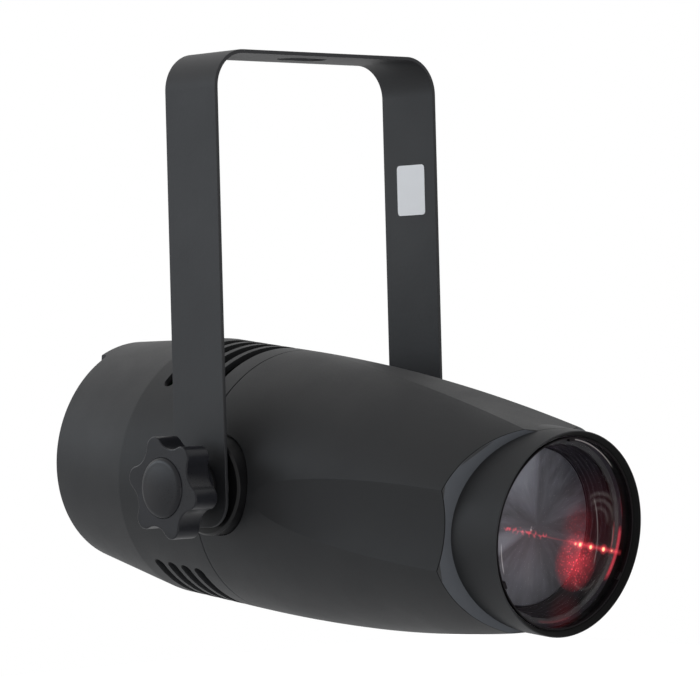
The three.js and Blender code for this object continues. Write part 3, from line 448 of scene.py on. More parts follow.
def turned(name, profile, sides):
    """Turned piece round the Y axis: a ring that is extruded and resized from point to point."""
    radius, place = profile[0]
    piece = added(
        name, "circle", vertices=sides, radius=radius, location=(0, place, 0), rotation=(QUARTER, 0, 0)
    )
    with editing(piece):
        bpy.ops.mesh.select_mode(type="EDGE")
        for (r0, y0), (r1, y1) in zip(profile, profile[1:]):
            extrude(0, y1 - y0, 0)
            bpy.ops.transform.resize(value=(r1 / r0, 1, r1 / r0), center_override=(0, y1, 0))
        closed_up()
    return piece


def rod(name, radius, y0, y1, sides):
    return turned(name, [(radius, y0), (radius, y1)], sides)


def dome(radius, place, rise, steps):
    """Profile of a shallow dome, from its edge to near its middle."""
    shares = [1 - step / steps for step in range(steps)]
    return [(radius * share, place + rise * (1 - share ** 2)) for share in shares]


def block(name, low, high):
    low, high = Vector(low), Vector(high)
    return added(name, "cube", high - low, size=1, location=(low + high) * HALF)


def modified(piece, kind, **values):
    """Adds a modifier, sets it and applies it."""
    take(piece)
    change = piece.modifiers.new(kind.title(), kind)
    for name, value in values.items():
        setattr(change, name, value)
    bpy.ops.object.modifier_apply(modifier=change.name)
    return piece


def boolean(piece, tool, operation="DIFFERENCE"):
    modified(piece, "BOOLEAN", object=tool, operation=operation, solver="EXACT")
    bpy.data.objects.remove(tool)
    return piece


def softened(piece, width, segments=2, limit=30):
    """Bevels every edge that is sharper than a limit in degrees."""
    return modified(
        piece, "BEVEL", width=width, segments=segments, limit_method="ANGLE",
        angle_limit=math.radians(limit), use_clamp_overlap=True, harden_normals=False,
    )


def joined(name, pieces):
    take(pieces[0])
    for piece in pieces[1:]:
        piece.select_set(True)
    bpy.ops.object.join()
    pieces[0].name = name
    return pieces[0]


def copied(node, name):
    """A merged copy of a CAD node's mesh, without the lines inside its flat faces."""
    piece = bpy.data.objects.new(name, frame["nodes"][node].data.copy())
    bpy.context.scene.collection.objects.link(piece)
    with editing(piece):
        on_all("remove_doubles", threshold=MERGE)
        on_all("dissolve_limited", angle_limit=FLAT_ANGLE)
        on_all("normals_make_consistent", inside=False)
    return piece


def settled(piece, body, material, nodes=(), smooth=30):
    """Ends a piece: smooth shading, finish, body and the CAD nodes that it stands for."""
    apply_place(piece)
    bpy.ops.object.shade_smooth_by_angle(angle=math.radians(smooth))
    modified(piece, "WEIGHTED_NORMAL", keep_sharp=True)
    piece.data.materials.clear()
    piece.data.materials.append(material)
    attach(piece, body)
    if nodes:
        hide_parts(*nodes)
    return piece


def outwards(side):
    """Turns the Y axis to point out of one side of the light."""
    return Matrix.Translation(PIVOT) @ Matrix.Rotation(-side * QUARTER, 4, "Z")


# Materials


class Signal:
    """A node's output that can be reckoned with: each step adds one more node."""

    def __init__(self, wiring, socket):
        self.wiring = wiring
        self.socket = socket

    def step(self, operation, other=0.0):
        return self.wiring.node("Math", {0: self, 1: other}, operation=operation)

    __add__ = __radd__ = partialmethod(step, "ADD")
    __sub__ = partialmethod(step, "SUBTRACT")
    __mul__ = partialmethod(step, "MULTIPLY")
    __truediv__ = partialmethod(step, "DIVIDE")
    __abs__ = partialmethod(step, "ABSOLUTE")
    most = partialmethod(step, "MAXIMUM")
    root = partialmethod(step, "SQRT")

    def rise(self, low, high, to_low=0.0, to_high=1.0):
        """Maps the range from low to high onto another, and stays at its ends beyond."""
        ends = {"From Min": low, "From Max": high, "To Min": to_low, "To Max": to_high}
        return self.wiring.node("MapRange", {"Value": self, **ends})

    def fall(self, low, high):
        return self.rise(low, high, 1.0, 0.0)

    def levels(self, to_low, to_high):
        """Maps the usual reach of a noise onto another range."""
        return self.rise(0.3, 0.7, to_low, to_high)


def distance(a, b):
    return (a * a + b * b).root()


class Wiring:
    """Node tree of a material or a world: nodes by kind, with their inputs fed by name or number."""

    def __init__(self, owner):
        owner.use_nodes = True
        self.tree = owner.node_tree

    def feed(self, socket, value):
        if isinstance(value, Signal):
            self.tree.links.new(value.socket, socket)
        else:
            socket.default_value = value

    def node(self, kind, inputs=None, out=0, **settings):
        """Adds a node and gives the signal at one of its outputs."""
        made = self.tree.nodes.new(f"ShaderNode{kind}")
        for name, value in settings.items():
            setattr(made, name, value)
        for name, value in (inputs or {}).items():
            self.feed(made.inputs[name], value)
        return Signal(self, made.outputs[out])

    def rays(self, *kinds):
        """One for a ray of any of these kinds, else nought."""
        return reduce(Signal.most, (self.node("LightPath", out=f"Is {kind} Ray") for kind in kinds))


class Shader(Wiring):
    """A material that is wired round its one surface."""

    def __init__(self, name):
        self.material = bpy.data.materials.new(name)
        super().__init__(self.material)
        self.surface = self.tree.nodes["Principled BSDF"]
        self.place = self.node("TexCoord", out="Object")

    def set(self, **values):
        """Feeds the surface and gives the material."""
        for name, value in values.items():
            self.feed(self.surface.inputs[name.replace("_", " ")], value)
        return self.material

    def noise(self, scale, detail=3.0, roughness=0.55, vector=None, distortion=0.0):
        return self.node("TexNoise", {
            "Vector": vector or self.place, "Scale": scale, "Detail": detail,
            "Roughness": roughness, "Distortion": distortion,
        })

    def mix(self, share, a, b, blend="MIX"):
        return self.node("Mix", {0: share, 6: a, 7: b}, out=2, data_type="RGBA", blend_type=blend)

    def bump(self, height, distance, **under):
        return self.node("Bump", {"Height": height, "Distance": distance, "Strength": 1.0, **under})

    def edges(self, low, high, most):
        """Share that follows pointiness: nought on flats, most on its sharpest edges."""
        return self.node("NewGeometry", out="Pointiness").rise(low, high, 0.0, most)

    def barrel_place(self):
        """Object coordinates turned to the barrel: X across, Y along its axis, Z up."""
        turn = {"Rotation": (-TILT, 0, 0), "Location": TO_BARREL.to_translation()}
        mapped = self.node("Mapping", {"Vector": self.place, **turn})
        return [self.node("SeparateXYZ", {"Vector": mapped}, out=axis) for axis in "XYZ"]


def opaque(rgb, share=1.0):
    return (*(channel * share for channel in rgb), 1.0)


def painted_shell_shade_and_highlight(shader, size):
    """Matt bore darkened as painted shade, a thin line of painted shade just behind each cheek's edge, and
    cheeks made paler as painted highlight.
    """
    x, y, z = shader.barrel_place()
    mouth = size.collar_radius - size.rim_width + 0.1 * MM
    # Inside the collar's mouth: rougher, and darkened as painted shade
    bore = distance(x, z).rise(mouth, mouth - 0.2 * MM) * y.rise(-120 * MM, -125 * MM)
    ahead = (y + size.cheek_forward) * -math.cos(size.cheek_angle)
    past = ahead + (abs(x) - size.collar_radius) * math.sin(size.cheek_angle)
    # Painted shade: a thin dark line just behind each cheek's edge
    painted_edge_shade = past.rise(-0.6 * MM, -0.3 * MM) * past.fall(-0.03 * MM, -0.02 * MM)
    # Painted highlight: the cheek faces are paler
    cheek = past.rise(-0.02 * MM, -0.01 * MM) * past.fall(0.01 * MM, 0.02 * MM)
    return bore.most(painted_edge_shade), cheek


def moulded(name, rgb, roughness, grain=2600.0, depth=0.02 * MM, gloss=0.28, shell=None):
    """Moulded plastic: fine spark texture, faint flow clouds and lighter edges; on the shells, painted shade
    in the bore and by each cheek, and painted highlight on the cheeks.
    """
    shader = Shader(name)
    clouds = shader.noise(28.0, 4.0, 0.6)
    fine = shader.noise(grain, 2.0, 0.5)
    base = shader.mix(fine.rise(0.35, 0.65, 0.0, 0.35), opaque(rgb), opaque(rgb, 1.5))
    tone = shader.mix(1.0, base, clouds.levels(0.88, 1.12), "MULTIPLY")
    tone = shader.mix(shader.edges(0.515, 0.56, 0.35), tone, opaque(rgb, 2.4))
    rough = clouds.levels(roughness - 0.04, roughness + 0.05) + fine.levels(-0.04, 0.04)
    if shell:
        # On the shells: painted shade in the bore and by each cheek's edge, painted highlight on the cheeks
        matt_and_painted_shade, cheek = painted_shell_shade_and_highlight(shader, shell)
        tone = shader.mix(cheek, tone, opaque(PAINTED_CHEEK_HIGHLIGHT_TONE))
        tone = shader.mix(matt_and_painted_shade, tone, opaque(rgb, 0.1))
        rough = rough + matt_and_painted_shade * 0.45
    skin = shader.bump(fine, depth)
    return shader.set(Base_Color=tone, Roughness=rough, Specular_IOR_Level=gloss, Normal=skin)


def powder_coat(name, rgb, roughness):
    """Powder coat: orange peel under a fine grain, with scuffs that catch the light."""
    shader = Shader(name)
    peel = shader.noise(520.0, 3.0, 0.5)
    fine = shader.noise(3200.0, 2.0, 0.6)
    clouds = shader.noise(18.0, 4.0, 0.6)
    scuff = shader.noise(90.0, 6.0, 0.75, distortion=0.6).rise(0.60, 0.72, 0.0, 0.3)
    tone = shader.mix(clouds.levels(0.0, 1.0), opaque(rgb, 0.88), opaque(rgb, 1.14))
    tone = shader.mix(shader.edges(0.52, 0.58, 0.4), tone, opaque(rgb, 2.6))
    rough = clouds.levels(roughness - 0.03, roughness + 0.04) + scuff * 0.2
    skin = shader.bump(fine, 0.012 * MM, Normal=shader.bump(peel, 0.035 * MM))
    return shader.set(Base_Color=tone, Roughness=rough, Specular_IOR_Level=0.32, Normal=skin)


def paper_film(name, rgb):
    """Blank label stock: even white with faint fibres and a soft sheen."""
    shader = Shader(name)
    fibres = shader.noise(2400.0, 4.0, 0.6, distortion=0.5)
    tone = shader.mix(shader.noise(60.0, 2.0, 0.5).levels(0.0, 1.0), opaque(rgb, 0.97), opaque(rgb))
    skin = shader.bump(fibres, 0.004 * MM)
    return shader.set(Base_Color=tone, Roughness=fibres.levels(0.38, 0.48), Normal=skin)


def brushed(name, rgb, roughness, stretch=(60.0, 900.0, 900.0)):
    """Bare metal with fine lines along one direction."""
    shader = Shader(name)
    mapped = shader.node("Mapping", {"Vector": shader.place, "Scale": stretch})
    lines = shader.noise(1.0, 4.0, 0.6, mapped)
    tone = shader.mix(shader.noise(60.0, 3.0, 0.6), opaque(rgb, 0.85), opaque(rgb, 1.1))
    rough = lines.levels(roughness - 0.08, roughness + 0.1)
    return shader.set(Base_Color=tone, Roughness=rough, Metallic=1.0, Normal=shader.bump(lines, 0.01 * MM))


def rubbery(name, rgb):
    """Matt rubber with a fine grain."""
    shader = Shader(name)
    fine = shader.noise(1800.0, 3.0, 0.6)
    tone = shader.mix(shader.noise(70.0, 3.0, 0.6), opaque(rgb, 0.8), opaque(rgb, 1.3))
    return shader.set(Base_Color=tone, Roughness=fine.levels(0.72, 0.88), Normal=shader.bump(fine, 0.02 * MM))


def circuit_board(name, rgb, print_rgb):
    """Solder mask with fine tracks and pads."""
    shader = Shader(name)
    tracks = shader.node("TexBrick", {"Vector": shader.place, "Scale": 220.0, "Mortar Size": 0.03}, out="Fac")
    pads = shader.node("TexVoronoi", {"Vector": shader.place, "Scale": 300.0})
    tone = shader.mix(tracks * 0.3, opaque(rgb), opaque(rgb, 1.6))
    tone = shader.mix(pads.rise(0.1, 0.14, 0.7, 0.0), tone, opaque(print_rgb))
    return shader.set(Base_Color=tone, Roughness=0.42, Normal=shader.bump(tracks, 0.03 * MM))


def painted_lens_reflections(shader, glow):
    """Painted light on the lens's flat rear face, as emission: a row of dots of painted reflection, a speckled
    patch of painted red glow and thin painted highlight arcs.
    """
    x, y, z = shader.barrel_place()
    flat = shader.node("CombineXYZ", {"X": x, "Z": z})

    def vector(operation, a, b, out=0):
        return shader.node("VectorMath", {0: a, 1: b}, out, operation=operation)

    def away(px, pz):
        return vector("DISTANCE", flat, (px * MM, 0, pz * MM), "Value")

    def halo(px, pz, wide, narrow):
        return away(px, pz).rise(wide * MM, narrow * MM)

    def between(value, low, high, soft):
        return value.rise((low - soft) * MM, low * MM) * value.fall(high * MM, (high + soft) * MM)

    def arcs(rows, soft):
        total = 0.0
        for px, pz, radius, width, left, right, low, high, power in rows:
            line = abs(away(px, pz) - radius * MM).fall(0.0, width * MM)
            total += line * between(z, low, high, soft) * between(x, left, right, 2.0) * power
        return total

    def coloured(rgb, strength):
        return shader.node("VectorMath", {0: rgb, "Scale": strength}, operation="SCALE")

    # Painted reflection of the source: a row of dots across the rings, with a faint red thread
    along = vector("DOT_PRODUCT", flat, (0.98, 0, -0.198), "Value")
    off_row = abs(vector("DOT_PRODUCT", flat, (0.198, 0, 0.98), "Value") + 2.6 * MM)
    blobs = shader.noise(620.0, 1.0, 0.5, flat).rise(0.5, 0.66)
    faint = between(along, -27.0, -6.0, 2.0) * off_row.fall(0.2 * MM, 1.6 * MM) * blobs
    thread = between(along, -26.0, 33.0, 3.0) * off_row.fall(0.0, 0.45 * MM)
    bright = between(along, 10.0, 33.0, 5.0) * off_row.fall(0.0, 1.3 * MM)
    red = faint * 0.5 + thread * 0.12 + bright * 0.4
    core = 0.0
    for px, pz, radius, power in PAINTED_REFLECTION_DOTS:
        core += halo(px, pz, radius, radius * HALF) * power
        red += halo(px, pz, radius * 2.2, radius) * (power * 0.3)

    # The speckled patch of painted red glow
    px, pz, half_wide, half_tall = PAINTED_GLOW_PATCH
    ring = distance((x - px * MM) / (half_wide * MM), (z - pz * MM) / (half_tall * MM))
    patch = ring.rise(1.15, 0.2) * shader.noise(150.0, 3.0, 0.6, flat).levels(0.5, 1.3)
    upright = shader.node("CombineXYZ", {"X": x, "Y": z})
    # Sparkling speckles in the painted red glow
    cells = shader.node("TexVoronoi", {"Vector": upright, "Scale": 820.0}, voronoi_dimensions="2D")
    glow_speckles = cells.rise(0.30, 0.10) * shader.noise(500.0, 1.0, 0.5, flat).rise(0.4, 0.62)
    red = red + patch * 0.42 + patch * glow_speckles * 1.3
    # Broad halos of painted red glow, and the red streaks of painted reflection by the rim
    red = red + halo(17.0, 0.0, 24.0, 4.0) * 0.018 + halo(6.0, -32.0, 10.0, 2.0) * 0.025
    red = red + halo(10.0, 2.0, 9.0, 3.0) * (glow_speckles + 0.3) * 0.15 + arcs(PAINTED_REFLECTION_STREAKS, 3.0)

    lit = vector("ADD", coloured(tuple(glow), red), coloured(PAINTED_DOT_CORE_TONE, core))
    total = vector("ADD", lit, coloured(PAINTED_HIGHLIGHT_TONE, arcs(PAINTED_HIGHLIGHT_ARCS, 1.5)))
    rear = along_barrel("front_lens")[1] - sizes("lens").forward
    shader.set(Emission_Color=total, Emission_Strength=y.rise(rear - 0.25 * MM, rear - 0.1 * MM))


def clear_glass(name, glow):
    """Clear lens: shadow and diffuse rays pass, so what lies behind is lit."""
    shader = Shader(name)
    # Painted reflections, painted glow and painted highlights on the rear face, as emission
    painted_lens_reflections(shader, glow)
    rough = shader.noise(45.0, 4.0, 0.65, distortion=0.4).rise(0.5, 0.75, 0.0, 0.015)
    shader.set(Base_Color=opaque((0.90, 0.89, 0.93)), Roughness=rough, Transmission_Weight=1.0, IOR=1.03)
    shader.set(Specular_Tint=opaque((0.0, 0.0, 0.0)))
    glass = Signal(shader, shader.surface.outputs[0])
    passing = shader.node("BsdfTransparent", {"Color": opaque((0.94, 0.94, 0.95))})
    mixed = shader.node("MixShader", {0: shader.rays("Shadow", "Diffuse"), 1: glass, 2: passing})
    shader.feed(shader.tree.nodes["Material Output"].inputs["Surface"], mixed)
    return shader.material


def collimator_clear(name):
    """Clear moulded cone, grey where fans of pale streaks of painted light lie over its near black, fading
    towards its bottom and its middle.
    """
    shader = Shader(name)
    x, _, z = shader.barrel_place()
    # The painted light fades towards the bottom and towards the middle
    low = z.rise(-26 * MM, 8 * MM, 0.45, 1.0)
    x = x - 4.5 * MM
    radius = distance(x, z)
    safe = radius.most(0.5 * MM)
    ray = shader.node("CombineXYZ", {"X": x / safe, "Y": radius * 14.0, "Z": z / safe})
    broad = shader.noise(2.2, 3.0, 0.6, ray)
    thin = shader.noise(11.0, 4.0, 0.65, ray)
    painted_light_streak = broad.rise(0.42, 0.66, 0.0, 0.5) + thin.rise(0.45, 0.75, 0.0, 0.25)
    for degrees, narrow, share in PAINTED_LIGHT_FANS:
        towards = (math.cos(math.radians(degrees)), 0, math.sin(math.radians(degrees)))
        lean = shader.node("VectorMath", {0: ray, 1: towards}, "Value", operation="DOT_PRODUCT")
        painted_light_streak += lean.rise(narrow, 1.0, 0.0, share)
    painted_light_streak = painted_light_streak * (low * radius.rise(3 * MM, 22 * MM, 0.1, 1.0))
    tone = shader.mix(painted_light_streak, opaque((0.011, 0.011, 0.014)), opaque((0.15, 0.155, 0.17)))
    return shader.set(Base_Color=tone, Roughness=0.42, Coat_Weight=0.2, Coat_Roughness=0.3)


def glowing(name, rgb, strength):
    """Silicone over a lit source, with paler cells."""
    shader = Shader(name)
    tone = shader.mix(shader.noise(2500.0, 2.0), opaque(rgb), opaque((1.0, 0.32, 0.08)))
    return shader.set(Base_Color=tone, Roughness=0.3, Emission_Color=tone, Emission_Strength=strength)


# Yoke


def yoke_strap():
    """Strap section that is extruded up one arm, spun round each bend and extruded down the other."""
    size = sizes("yoke")
    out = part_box("yoke_strap")[1].x
    foot = PIVOT.z - size.arm_end_drop
    bend = size.bend_radius
    piece = added(
        "yoke_strap_bent", "plane", (size.strap_thickness, size.strap_width, 1), size=1,
        location=(-out + size.strap_thickness * HALF, 0, foot),
    )
    with editing(piece):
        bpy.ops.mesh.select_mode(type="FACE")
        extrude(0, 0, -bend - foot)
        for middle, step in ((-out + bend, (2 * (out - bend), 0, 0)), (out - bend, (0, 0, foot + bend))):
            bpy.ops.mesh.spin(steps=size.bend_steps, angle=-QUARTER, center=(middle, 0, -bend), axis=(0, 1, 0))
            extrude(*step)
        closed_up()
    half = size.strap_width * HALF
    rounded(piece, size.arm_corner, 10, lambda edge: abs(run(edge).y) < MM * HALF and all(
        abs(v.co.z - foot) < MM and abs(abs(v.co.y) - half) < MM * HALF for v in edge.verts
    ))
    long, wide, high = size.slot_length * HALF, size.slot_width * HALF, bend * HALF
    slot = block("slot_tool", (-long, -wide, -high), (long, wide, high))
    boolean(piece, rounded(slot, wide - MERGE * 10, 12, lambda edge: abs(run(edge).z) > MM))
    hole = rod("pivot_tool", size.pivot_hole, -out * 2, out * 2, FACETS["stud"])
    boolean(piece, moved(hole, outwards(-1)))
    return softened(piece, size.edge_round, 2, 50)


def blank_label():
    """Thin blank film with round corners, stuck on the inner face of one arm."""
    size = sizes("yoke")
    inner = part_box("yoke_strap")[1].x - size.strap_thickness
    thick = size.label_thickness
    wide, high = size.label_width * HALF, size.label_height * HALF
    piece = block(
        "blank_label", (inner - thick, size.label_shift - wide, -size.label_drop - high),
        (inner, size.label_shift + wide, -size.label_drop + high),
    )
    rounded(piece, size.label_corner, 5, lambda edge: abs(run(edge).x) > thick * HALF)
    return softened(piece, thick * 0.3, 2, 50)


# Front shell


def oval_at(size, y):
    share = max(0.0, (size.seam_back - y) / size.taper_length)
    return size.barrel_radius - size.wide_drop * share ** 2, size.barrel_radius - size.tall_drop * share ** 2


def scoop_at(size, y, z):
    rear = size.barrel_radius - size.scoop_rear_depth
    front = size.collar_radius + size.scoop_front_proud
    slope = (rear - front) / (size.scoop_front - size.scoop_rear)
    floor = front + slope * (size.scoop_front + y)
    return floor + size.scoop_radius - math.sqrt(size.scoop_radius ** 2 - z ** 2)


def scoop_edge_at(size, y):
    """Height at which a scoop's hollow runs out into the oval."""
    wide, tall = oval_at(size, y)
    low, high = 0.0, tall * HALF
    for _ in range(HALVINGS):
        middle = (low + high) * HALF
        if scoop_at(size, y, middle) < wide * math.sqrt(1 - (middle / tall) ** 2):
            low = middle
        else:
            high = middle
    return low


def section_point(size, y, share, parts):
    """Point of the section's first quarter, from the side (share 0) to the top (share 1)."""
    wide, tall = oval_at(size, y)
    scoop_part, oval_part = parts
    span = max(scoop_edge_at(size, y), size.edge_round * LEAST_SCOOP)
    opened = max(0.0, (-y - size.flat_start) / (size.flat_end - size.flat_start))
    flat_half = size.flat_half_width * math.sqrt(opened)
    flat_height = tall * math.sqrt(1 - (flat_half / wide) ** 2)
    flat_span = max(flat_half, size.edge_round * LEAST_FLAT)
    if share <= scoop_part:
        z = span * share / scoop_part
        return min(scoop_at(size, y, z), wide * math.sqrt(1 - (z / tall) ** 2)), z
    if share <= oval_part:
        start = math.asin(span / tall)
        end = math.acos(flat_span / wide)
        turn = start + (end - start) * (share - scoop_part) / (oval_part - scoop_part)
        return wide * math.cos(turn), min(tall * math.sin(turn), flat_height)
    x = flat_span * (1 - (share - oval_part) / (1 - oval_part))
    return x, min(flat_height, tall * math.sqrt(1 - (x / wide) ** 2))


def nose_body(size):
    """Cylinder with rings along its length, drawn in to the oval, the flats and the scoops."""
    front = -size.cheek_forward - math.tan(size.cheek_angle) * size.collar_radius
    back = size.seam_back - size.seam_gap * HALF
    piece = added(
        "front_shell_moulded", "cylinder", vertices=size.sides, radius=size.barrel_radius, depth=back - front,
        location=(0, (back + front) * HALF, 0), rotation=(QUARTER, 0, 0),
    )
    with editing(piece):
        pick(piece, lambda edge: abs(run(edge).y) > MM)
        bpy.ops.mesh.subdivide(number_cuts=size.rings)
    quarter = size.sides // 4
    parts = [round(quarter * part) / quarter for part in (SCOOP_PART, OVAL_PART)]
    for vertex in piece.data.vertices:
        x, y, z = vertex.co
        column = round(math.atan2(abs(z), abs(x)) / QUARTER * quarter)
        px, pz = section_point(size, y, column / quarter, parts)
        vertex.co.x = math.copysign(px, x)
        vertex.co.z = math.copysign(pz, z)
    return piece


def cut_cheeks(piece, size):
    """Bisects the nose with the two slanted cheek planes."""
    for side in SIDES.values():
        place = (side * size.collar_radius, -size.cheek_forward, 0)
        normal = (side * math.sin(size.cheek_angle), -math.cos(size.cheek_angle), 0)
        with editing(piece):
            bpy.ops.mesh.bisect(plane_co=place, plane_no=normal, use_fill=True, clear_outer=True)


def collar(size):
    """Round collar with a rounded rim; it runs back into the nose."""
    radius, front, soft = size.collar_radius, -size.nose_length, size.edge_round
    return turned("collar", [
        (radius + size.collar_draft, -size.cheek_forward + size.wall), (radius, front + soft),
        (radius - soft * ARC_MIDDLE, front + soft * ARC_MIDDLE), (radius - soft, front),
    ], size.sides)


def front_bore(size):
    """What the moulding is hollowed out with, from the seam to the rim."""
    bore = size.collar_radius - size.collar_wall
    ledge = bore - size.ledge_height
    ledge_y = along_barrel("collimator_holder")[0] + size.ledge_back
    barrel_bore = size.barrel_radius - size.wall
    mouth = size.collar_radius - size.rim_width
    return turned("front_bore_tool", [
        (barrel_bore, size.seam_back + size.wall), (barrel_bore, 0),
        (barrel_bore - size.scoop_rear_depth, -size.scoop_rear), (bore, -size.cheek_forward),
        (ledge, ledge_y + size.ledge_length), (ledge, ledge_y), (bore, ledge_y),
        (bore, -size.nose_length + size.rim_flare), (mouth, -size.nose_length),
        (mouth, -size.nose_length - size.wall),
    ], size.sides)


def boss_holes(piece, size):
    """Round holes through a shell's sides for the pivot bosses."""
    radius = sizes("knob").boss_radius + size.boss_hole_gap
    for side in SIDES.values():
        tool = rod("boss_tool", radius, size.barrel_radius * 0.8, size.barrel_radius * 1.2, FACETS["hub"])
        turn = Matrix.Rotation(-side * QUARTER, 4, "Z")
        boolean(piece, moved(tool, Matrix.Translation((0, 0, BARREL_DROP)) @ turn))


def front_shell():
    size = sizes("shell")
    piece = nose_body(size)
    cut_cheeks(piece, size)
    boolean(piece, collar(size), "UNION")
    boolean(piece, front_bore(size))
    boss_holes(piece, size)
    return moved(piece, BARREL)


# Rear shell


def hood_tools(size):
    """Blocks that take away the rim's tail beside and below the tongue."""
    rim = size.rear_length
    far = rim + size.hood_length * 2
    wide = size.barrel_radius
    tools = [block("below_tool", (-wide, rim, -wide), (wide, far, 0))]
    for side in SIDES.values():
        root = side * size.hood_half_width
        near, out = sorted((root, side * wide))
        tool = block("beside_tool", (near, rim, -wide), (out, far, wide))
        tools.append(rounded(tool, size.hood_corner, 8, lambda edge: all(
            abs(v.co.x - root) < MM and abs(v.co.y - rim) < MM for v in edge.verts
        )))
    return tools


def vent_tool(size, y, side):
    """Slot cutter: a strip that is spun round the barrel's axis, with round ends."""
    inner = size.barrel_radius - size.wall * 2
    outer = size.barrel_radius + size.wall
    start = side * QUARTER - size.vent_half_angle
    piece = added(
        "vent_tool", "plane", (outer - inner, size.vent_width, 1), size=1,
        location=((inner + outer) * HALF, y, 0),
    )
    moved(piece, Matrix.Rotation(-start, 4, "Y"))
    with editing(piece):
        bpy.ops.mesh.select_mode(type="FACE")
        bpy.ops.mesh.spin(
            steps=size.vent_steps, angle=size.vent_half_angle * 2, center=(0, 0, 0), axis=(0, 1, 0)
        )
        closed_up()
    ends = [Vector((math.cos(t), 0, math.sin(t))) for t in (start, start + size.vent_half_angle * 2)]
    # Just under half the width, so that the two roundings of an end don't meet
    round_end = size.vent_width * HALF - 0.02 * MM
    return rounded(piece, round_end, 6, lambda edge: abs(run(edge).y) < NEAR and any(
        all(abs(v.co.cross(end).y) < NEAR and v.co.dot(end) > 0 for v in edge.verts) for end in ends
    ))


def rear_shell():
    size = sizes("shell")
    start = size.seam_back + size.seam_gap * HALF
    crease = size.crease_back
    end = size.rear_length + size.hood_length
    slope = (size.barrel_radius - size.rear_radius) / (size.rear_length - crease)
    soft, wall, radius = size.edge_round, size.wall, size.barrel_radius
    middle = soft * ARC_MIDDLE

    def tapered(y, inset=0.0):
        return radius - slope * max(0.0, y - crease) - inset, y

    piece = turned("rear_shell_moulded", [
        (radius - wall, start), (radius - soft, start), (radius - middle, start + middle),
        (radius, start + soft), (radius, crease - soft * 2), tapered(crease + soft * 2), tapered(end - soft),
        (tapered(end)[0] - middle, end - middle), tapered(end, soft), tapered(end, wall),
        tapered(crease, wall), (radius - wall, start),
    ], size.sides)
    vents = [size.vent_first + size.vent_pitch * index for index in range(size.vent_count)]
    for tool in hood_tools(size):
        boolean(piece, tool)
    for y in vents:
        for side in SIDES.values():
            boolean(piece, vent_tool(size, y, side))
    boss_holes(piece, size)
    return moved(piece, BARREL)


# Lens group


def retaining_ring():
    size = sizes("lens")
    y0, y1 = (y - size.forward for y in along_barrel("lens_retaining_ring"))
    outer = round_barrel("lens_retaining_ring")
    inner = outer - size.ring_width
    soft = size.ring_width * 0.2
    half = size.tab_width * HALF
    ring = turned("lens_ring", [
        (inner, y0 + soft), (inner + soft, y0), (outer - soft, y0), (outer, y0 + soft),
        (outer, y1), (inner, y1), (inner, y0 + soft),
    ], size.sides)
    for index in range(size.tabs):
        tab = softened(block("lens_tab", (inner - size.tab_reach, y0, -half), (inner + soft, y1, half)), soft)
        moved(tab, Matrix.Rotation(math.radians(30) + TURN * index / size.tabs, 4, "Y"))
        boolean(ring, tab, "UNION")
    return moved(ring, BARREL)


def front_lens():
    """Flat back, straight edge and a domed front drawn ring by ring."""
    size = sizes("lens")
    y1 = along_barrel("front_lens")[1] - size.forward
    outer = round_barrel("front_lens")
    y0 = y1 - size.edge
    soft = size.edge * 0.1
    profile = [(outer, y1), (outer, y0 + soft), (outer - soft, y0)]
    profile += dome(outer - size.ring_width - size.tab_reach, y0, -size.dome, 24)
    return moved(turned("front_lens_polished", profile, size.sides), BARREL)


def collimator_holder():
    """Stepped funnel with a rim in front and a thin cone behind it."""
    size = sizes("lens")
    y0, y1 = along_barrel("collimator_holder")
    y0 -= size.forward
    outer = round_barrel("collimator_holder")
    gap, wall = size.holder_gap, size.holder_wall
    rim = y0 + size.holder_rim
    floor = y0 + size.baffle_depth
    throat = size.collimator_radius + gap
    mouth = outer - size.holder_land
    tail = size.collimator_tail + gap
    profile = [(throat, floor)]
    for step in range(size.baffle_steps):
        share0, share1 = step / size.baffle_steps, (step + 1) / size.baffle_steps
        radius = throat + (mouth - throat) * share1
        profile.append((radius - gap, y0 + size.baffle_depth * (1 - share0)))
        profile.append((radius, y0 + size.baffle_depth * (1 - share1) + gap))
    profile += [
        (outer, y0), (outer, rim), (outer - wall * 2, rim), (throat + wall * 2, floor + wall),
        (tail + wall, y1), (tail, y1), (throat, floor + gap * 2), (throat, floor),
    ]
    return moved(turned("collimator_holder_stepped", profile, size.sides), BARREL)


def collimator():
    """Cone with a hollow face and a straight rim."""
    size = sizes("lens")
    y0, y1 = along_barrel("collimator_lens")
    y0 += size.collimator_back
    radius, hollow, soft = size.collimator_radius, size.collimator_hollow, size.collimator_edge
    profile = [(radius * 0.01, y0 + hollow)]
    profile += reversed(dome(radius - soft, y0, hollow, 12))
    profile += [(radius, y0 + soft), (radius, y0 + size.collimator_rim),
                (size.collimator_tail, y1), (size.collimator_tail * HALF, y1)]
    return moved(turned("collimator_cone", profile, size.sides), BARREL)


# Pivots and knobs


def pivot_boss(name, side):
    knob = sizes("knob")
    near, far = reach(f"{name}_pivot_boss")
    bore, radius, chamfer = knob.boss_bore, knob.boss_radius, knob.boss_chamfer
    soft = chamfer * ARC_MIDDLE
    return moved(turned(f"{name}_boss", [
        (bore, near), (radius, near), (radius, far - chamfer - soft), (radius - soft * HALF, far - chamfer),
        (radius - chamfer, far - soft * HALF), (radius - chamfer - soft, far), (bore + soft, far),
        (bore, far - soft), (bore, near),
    ], FACETS["wide"]), outwards(side))


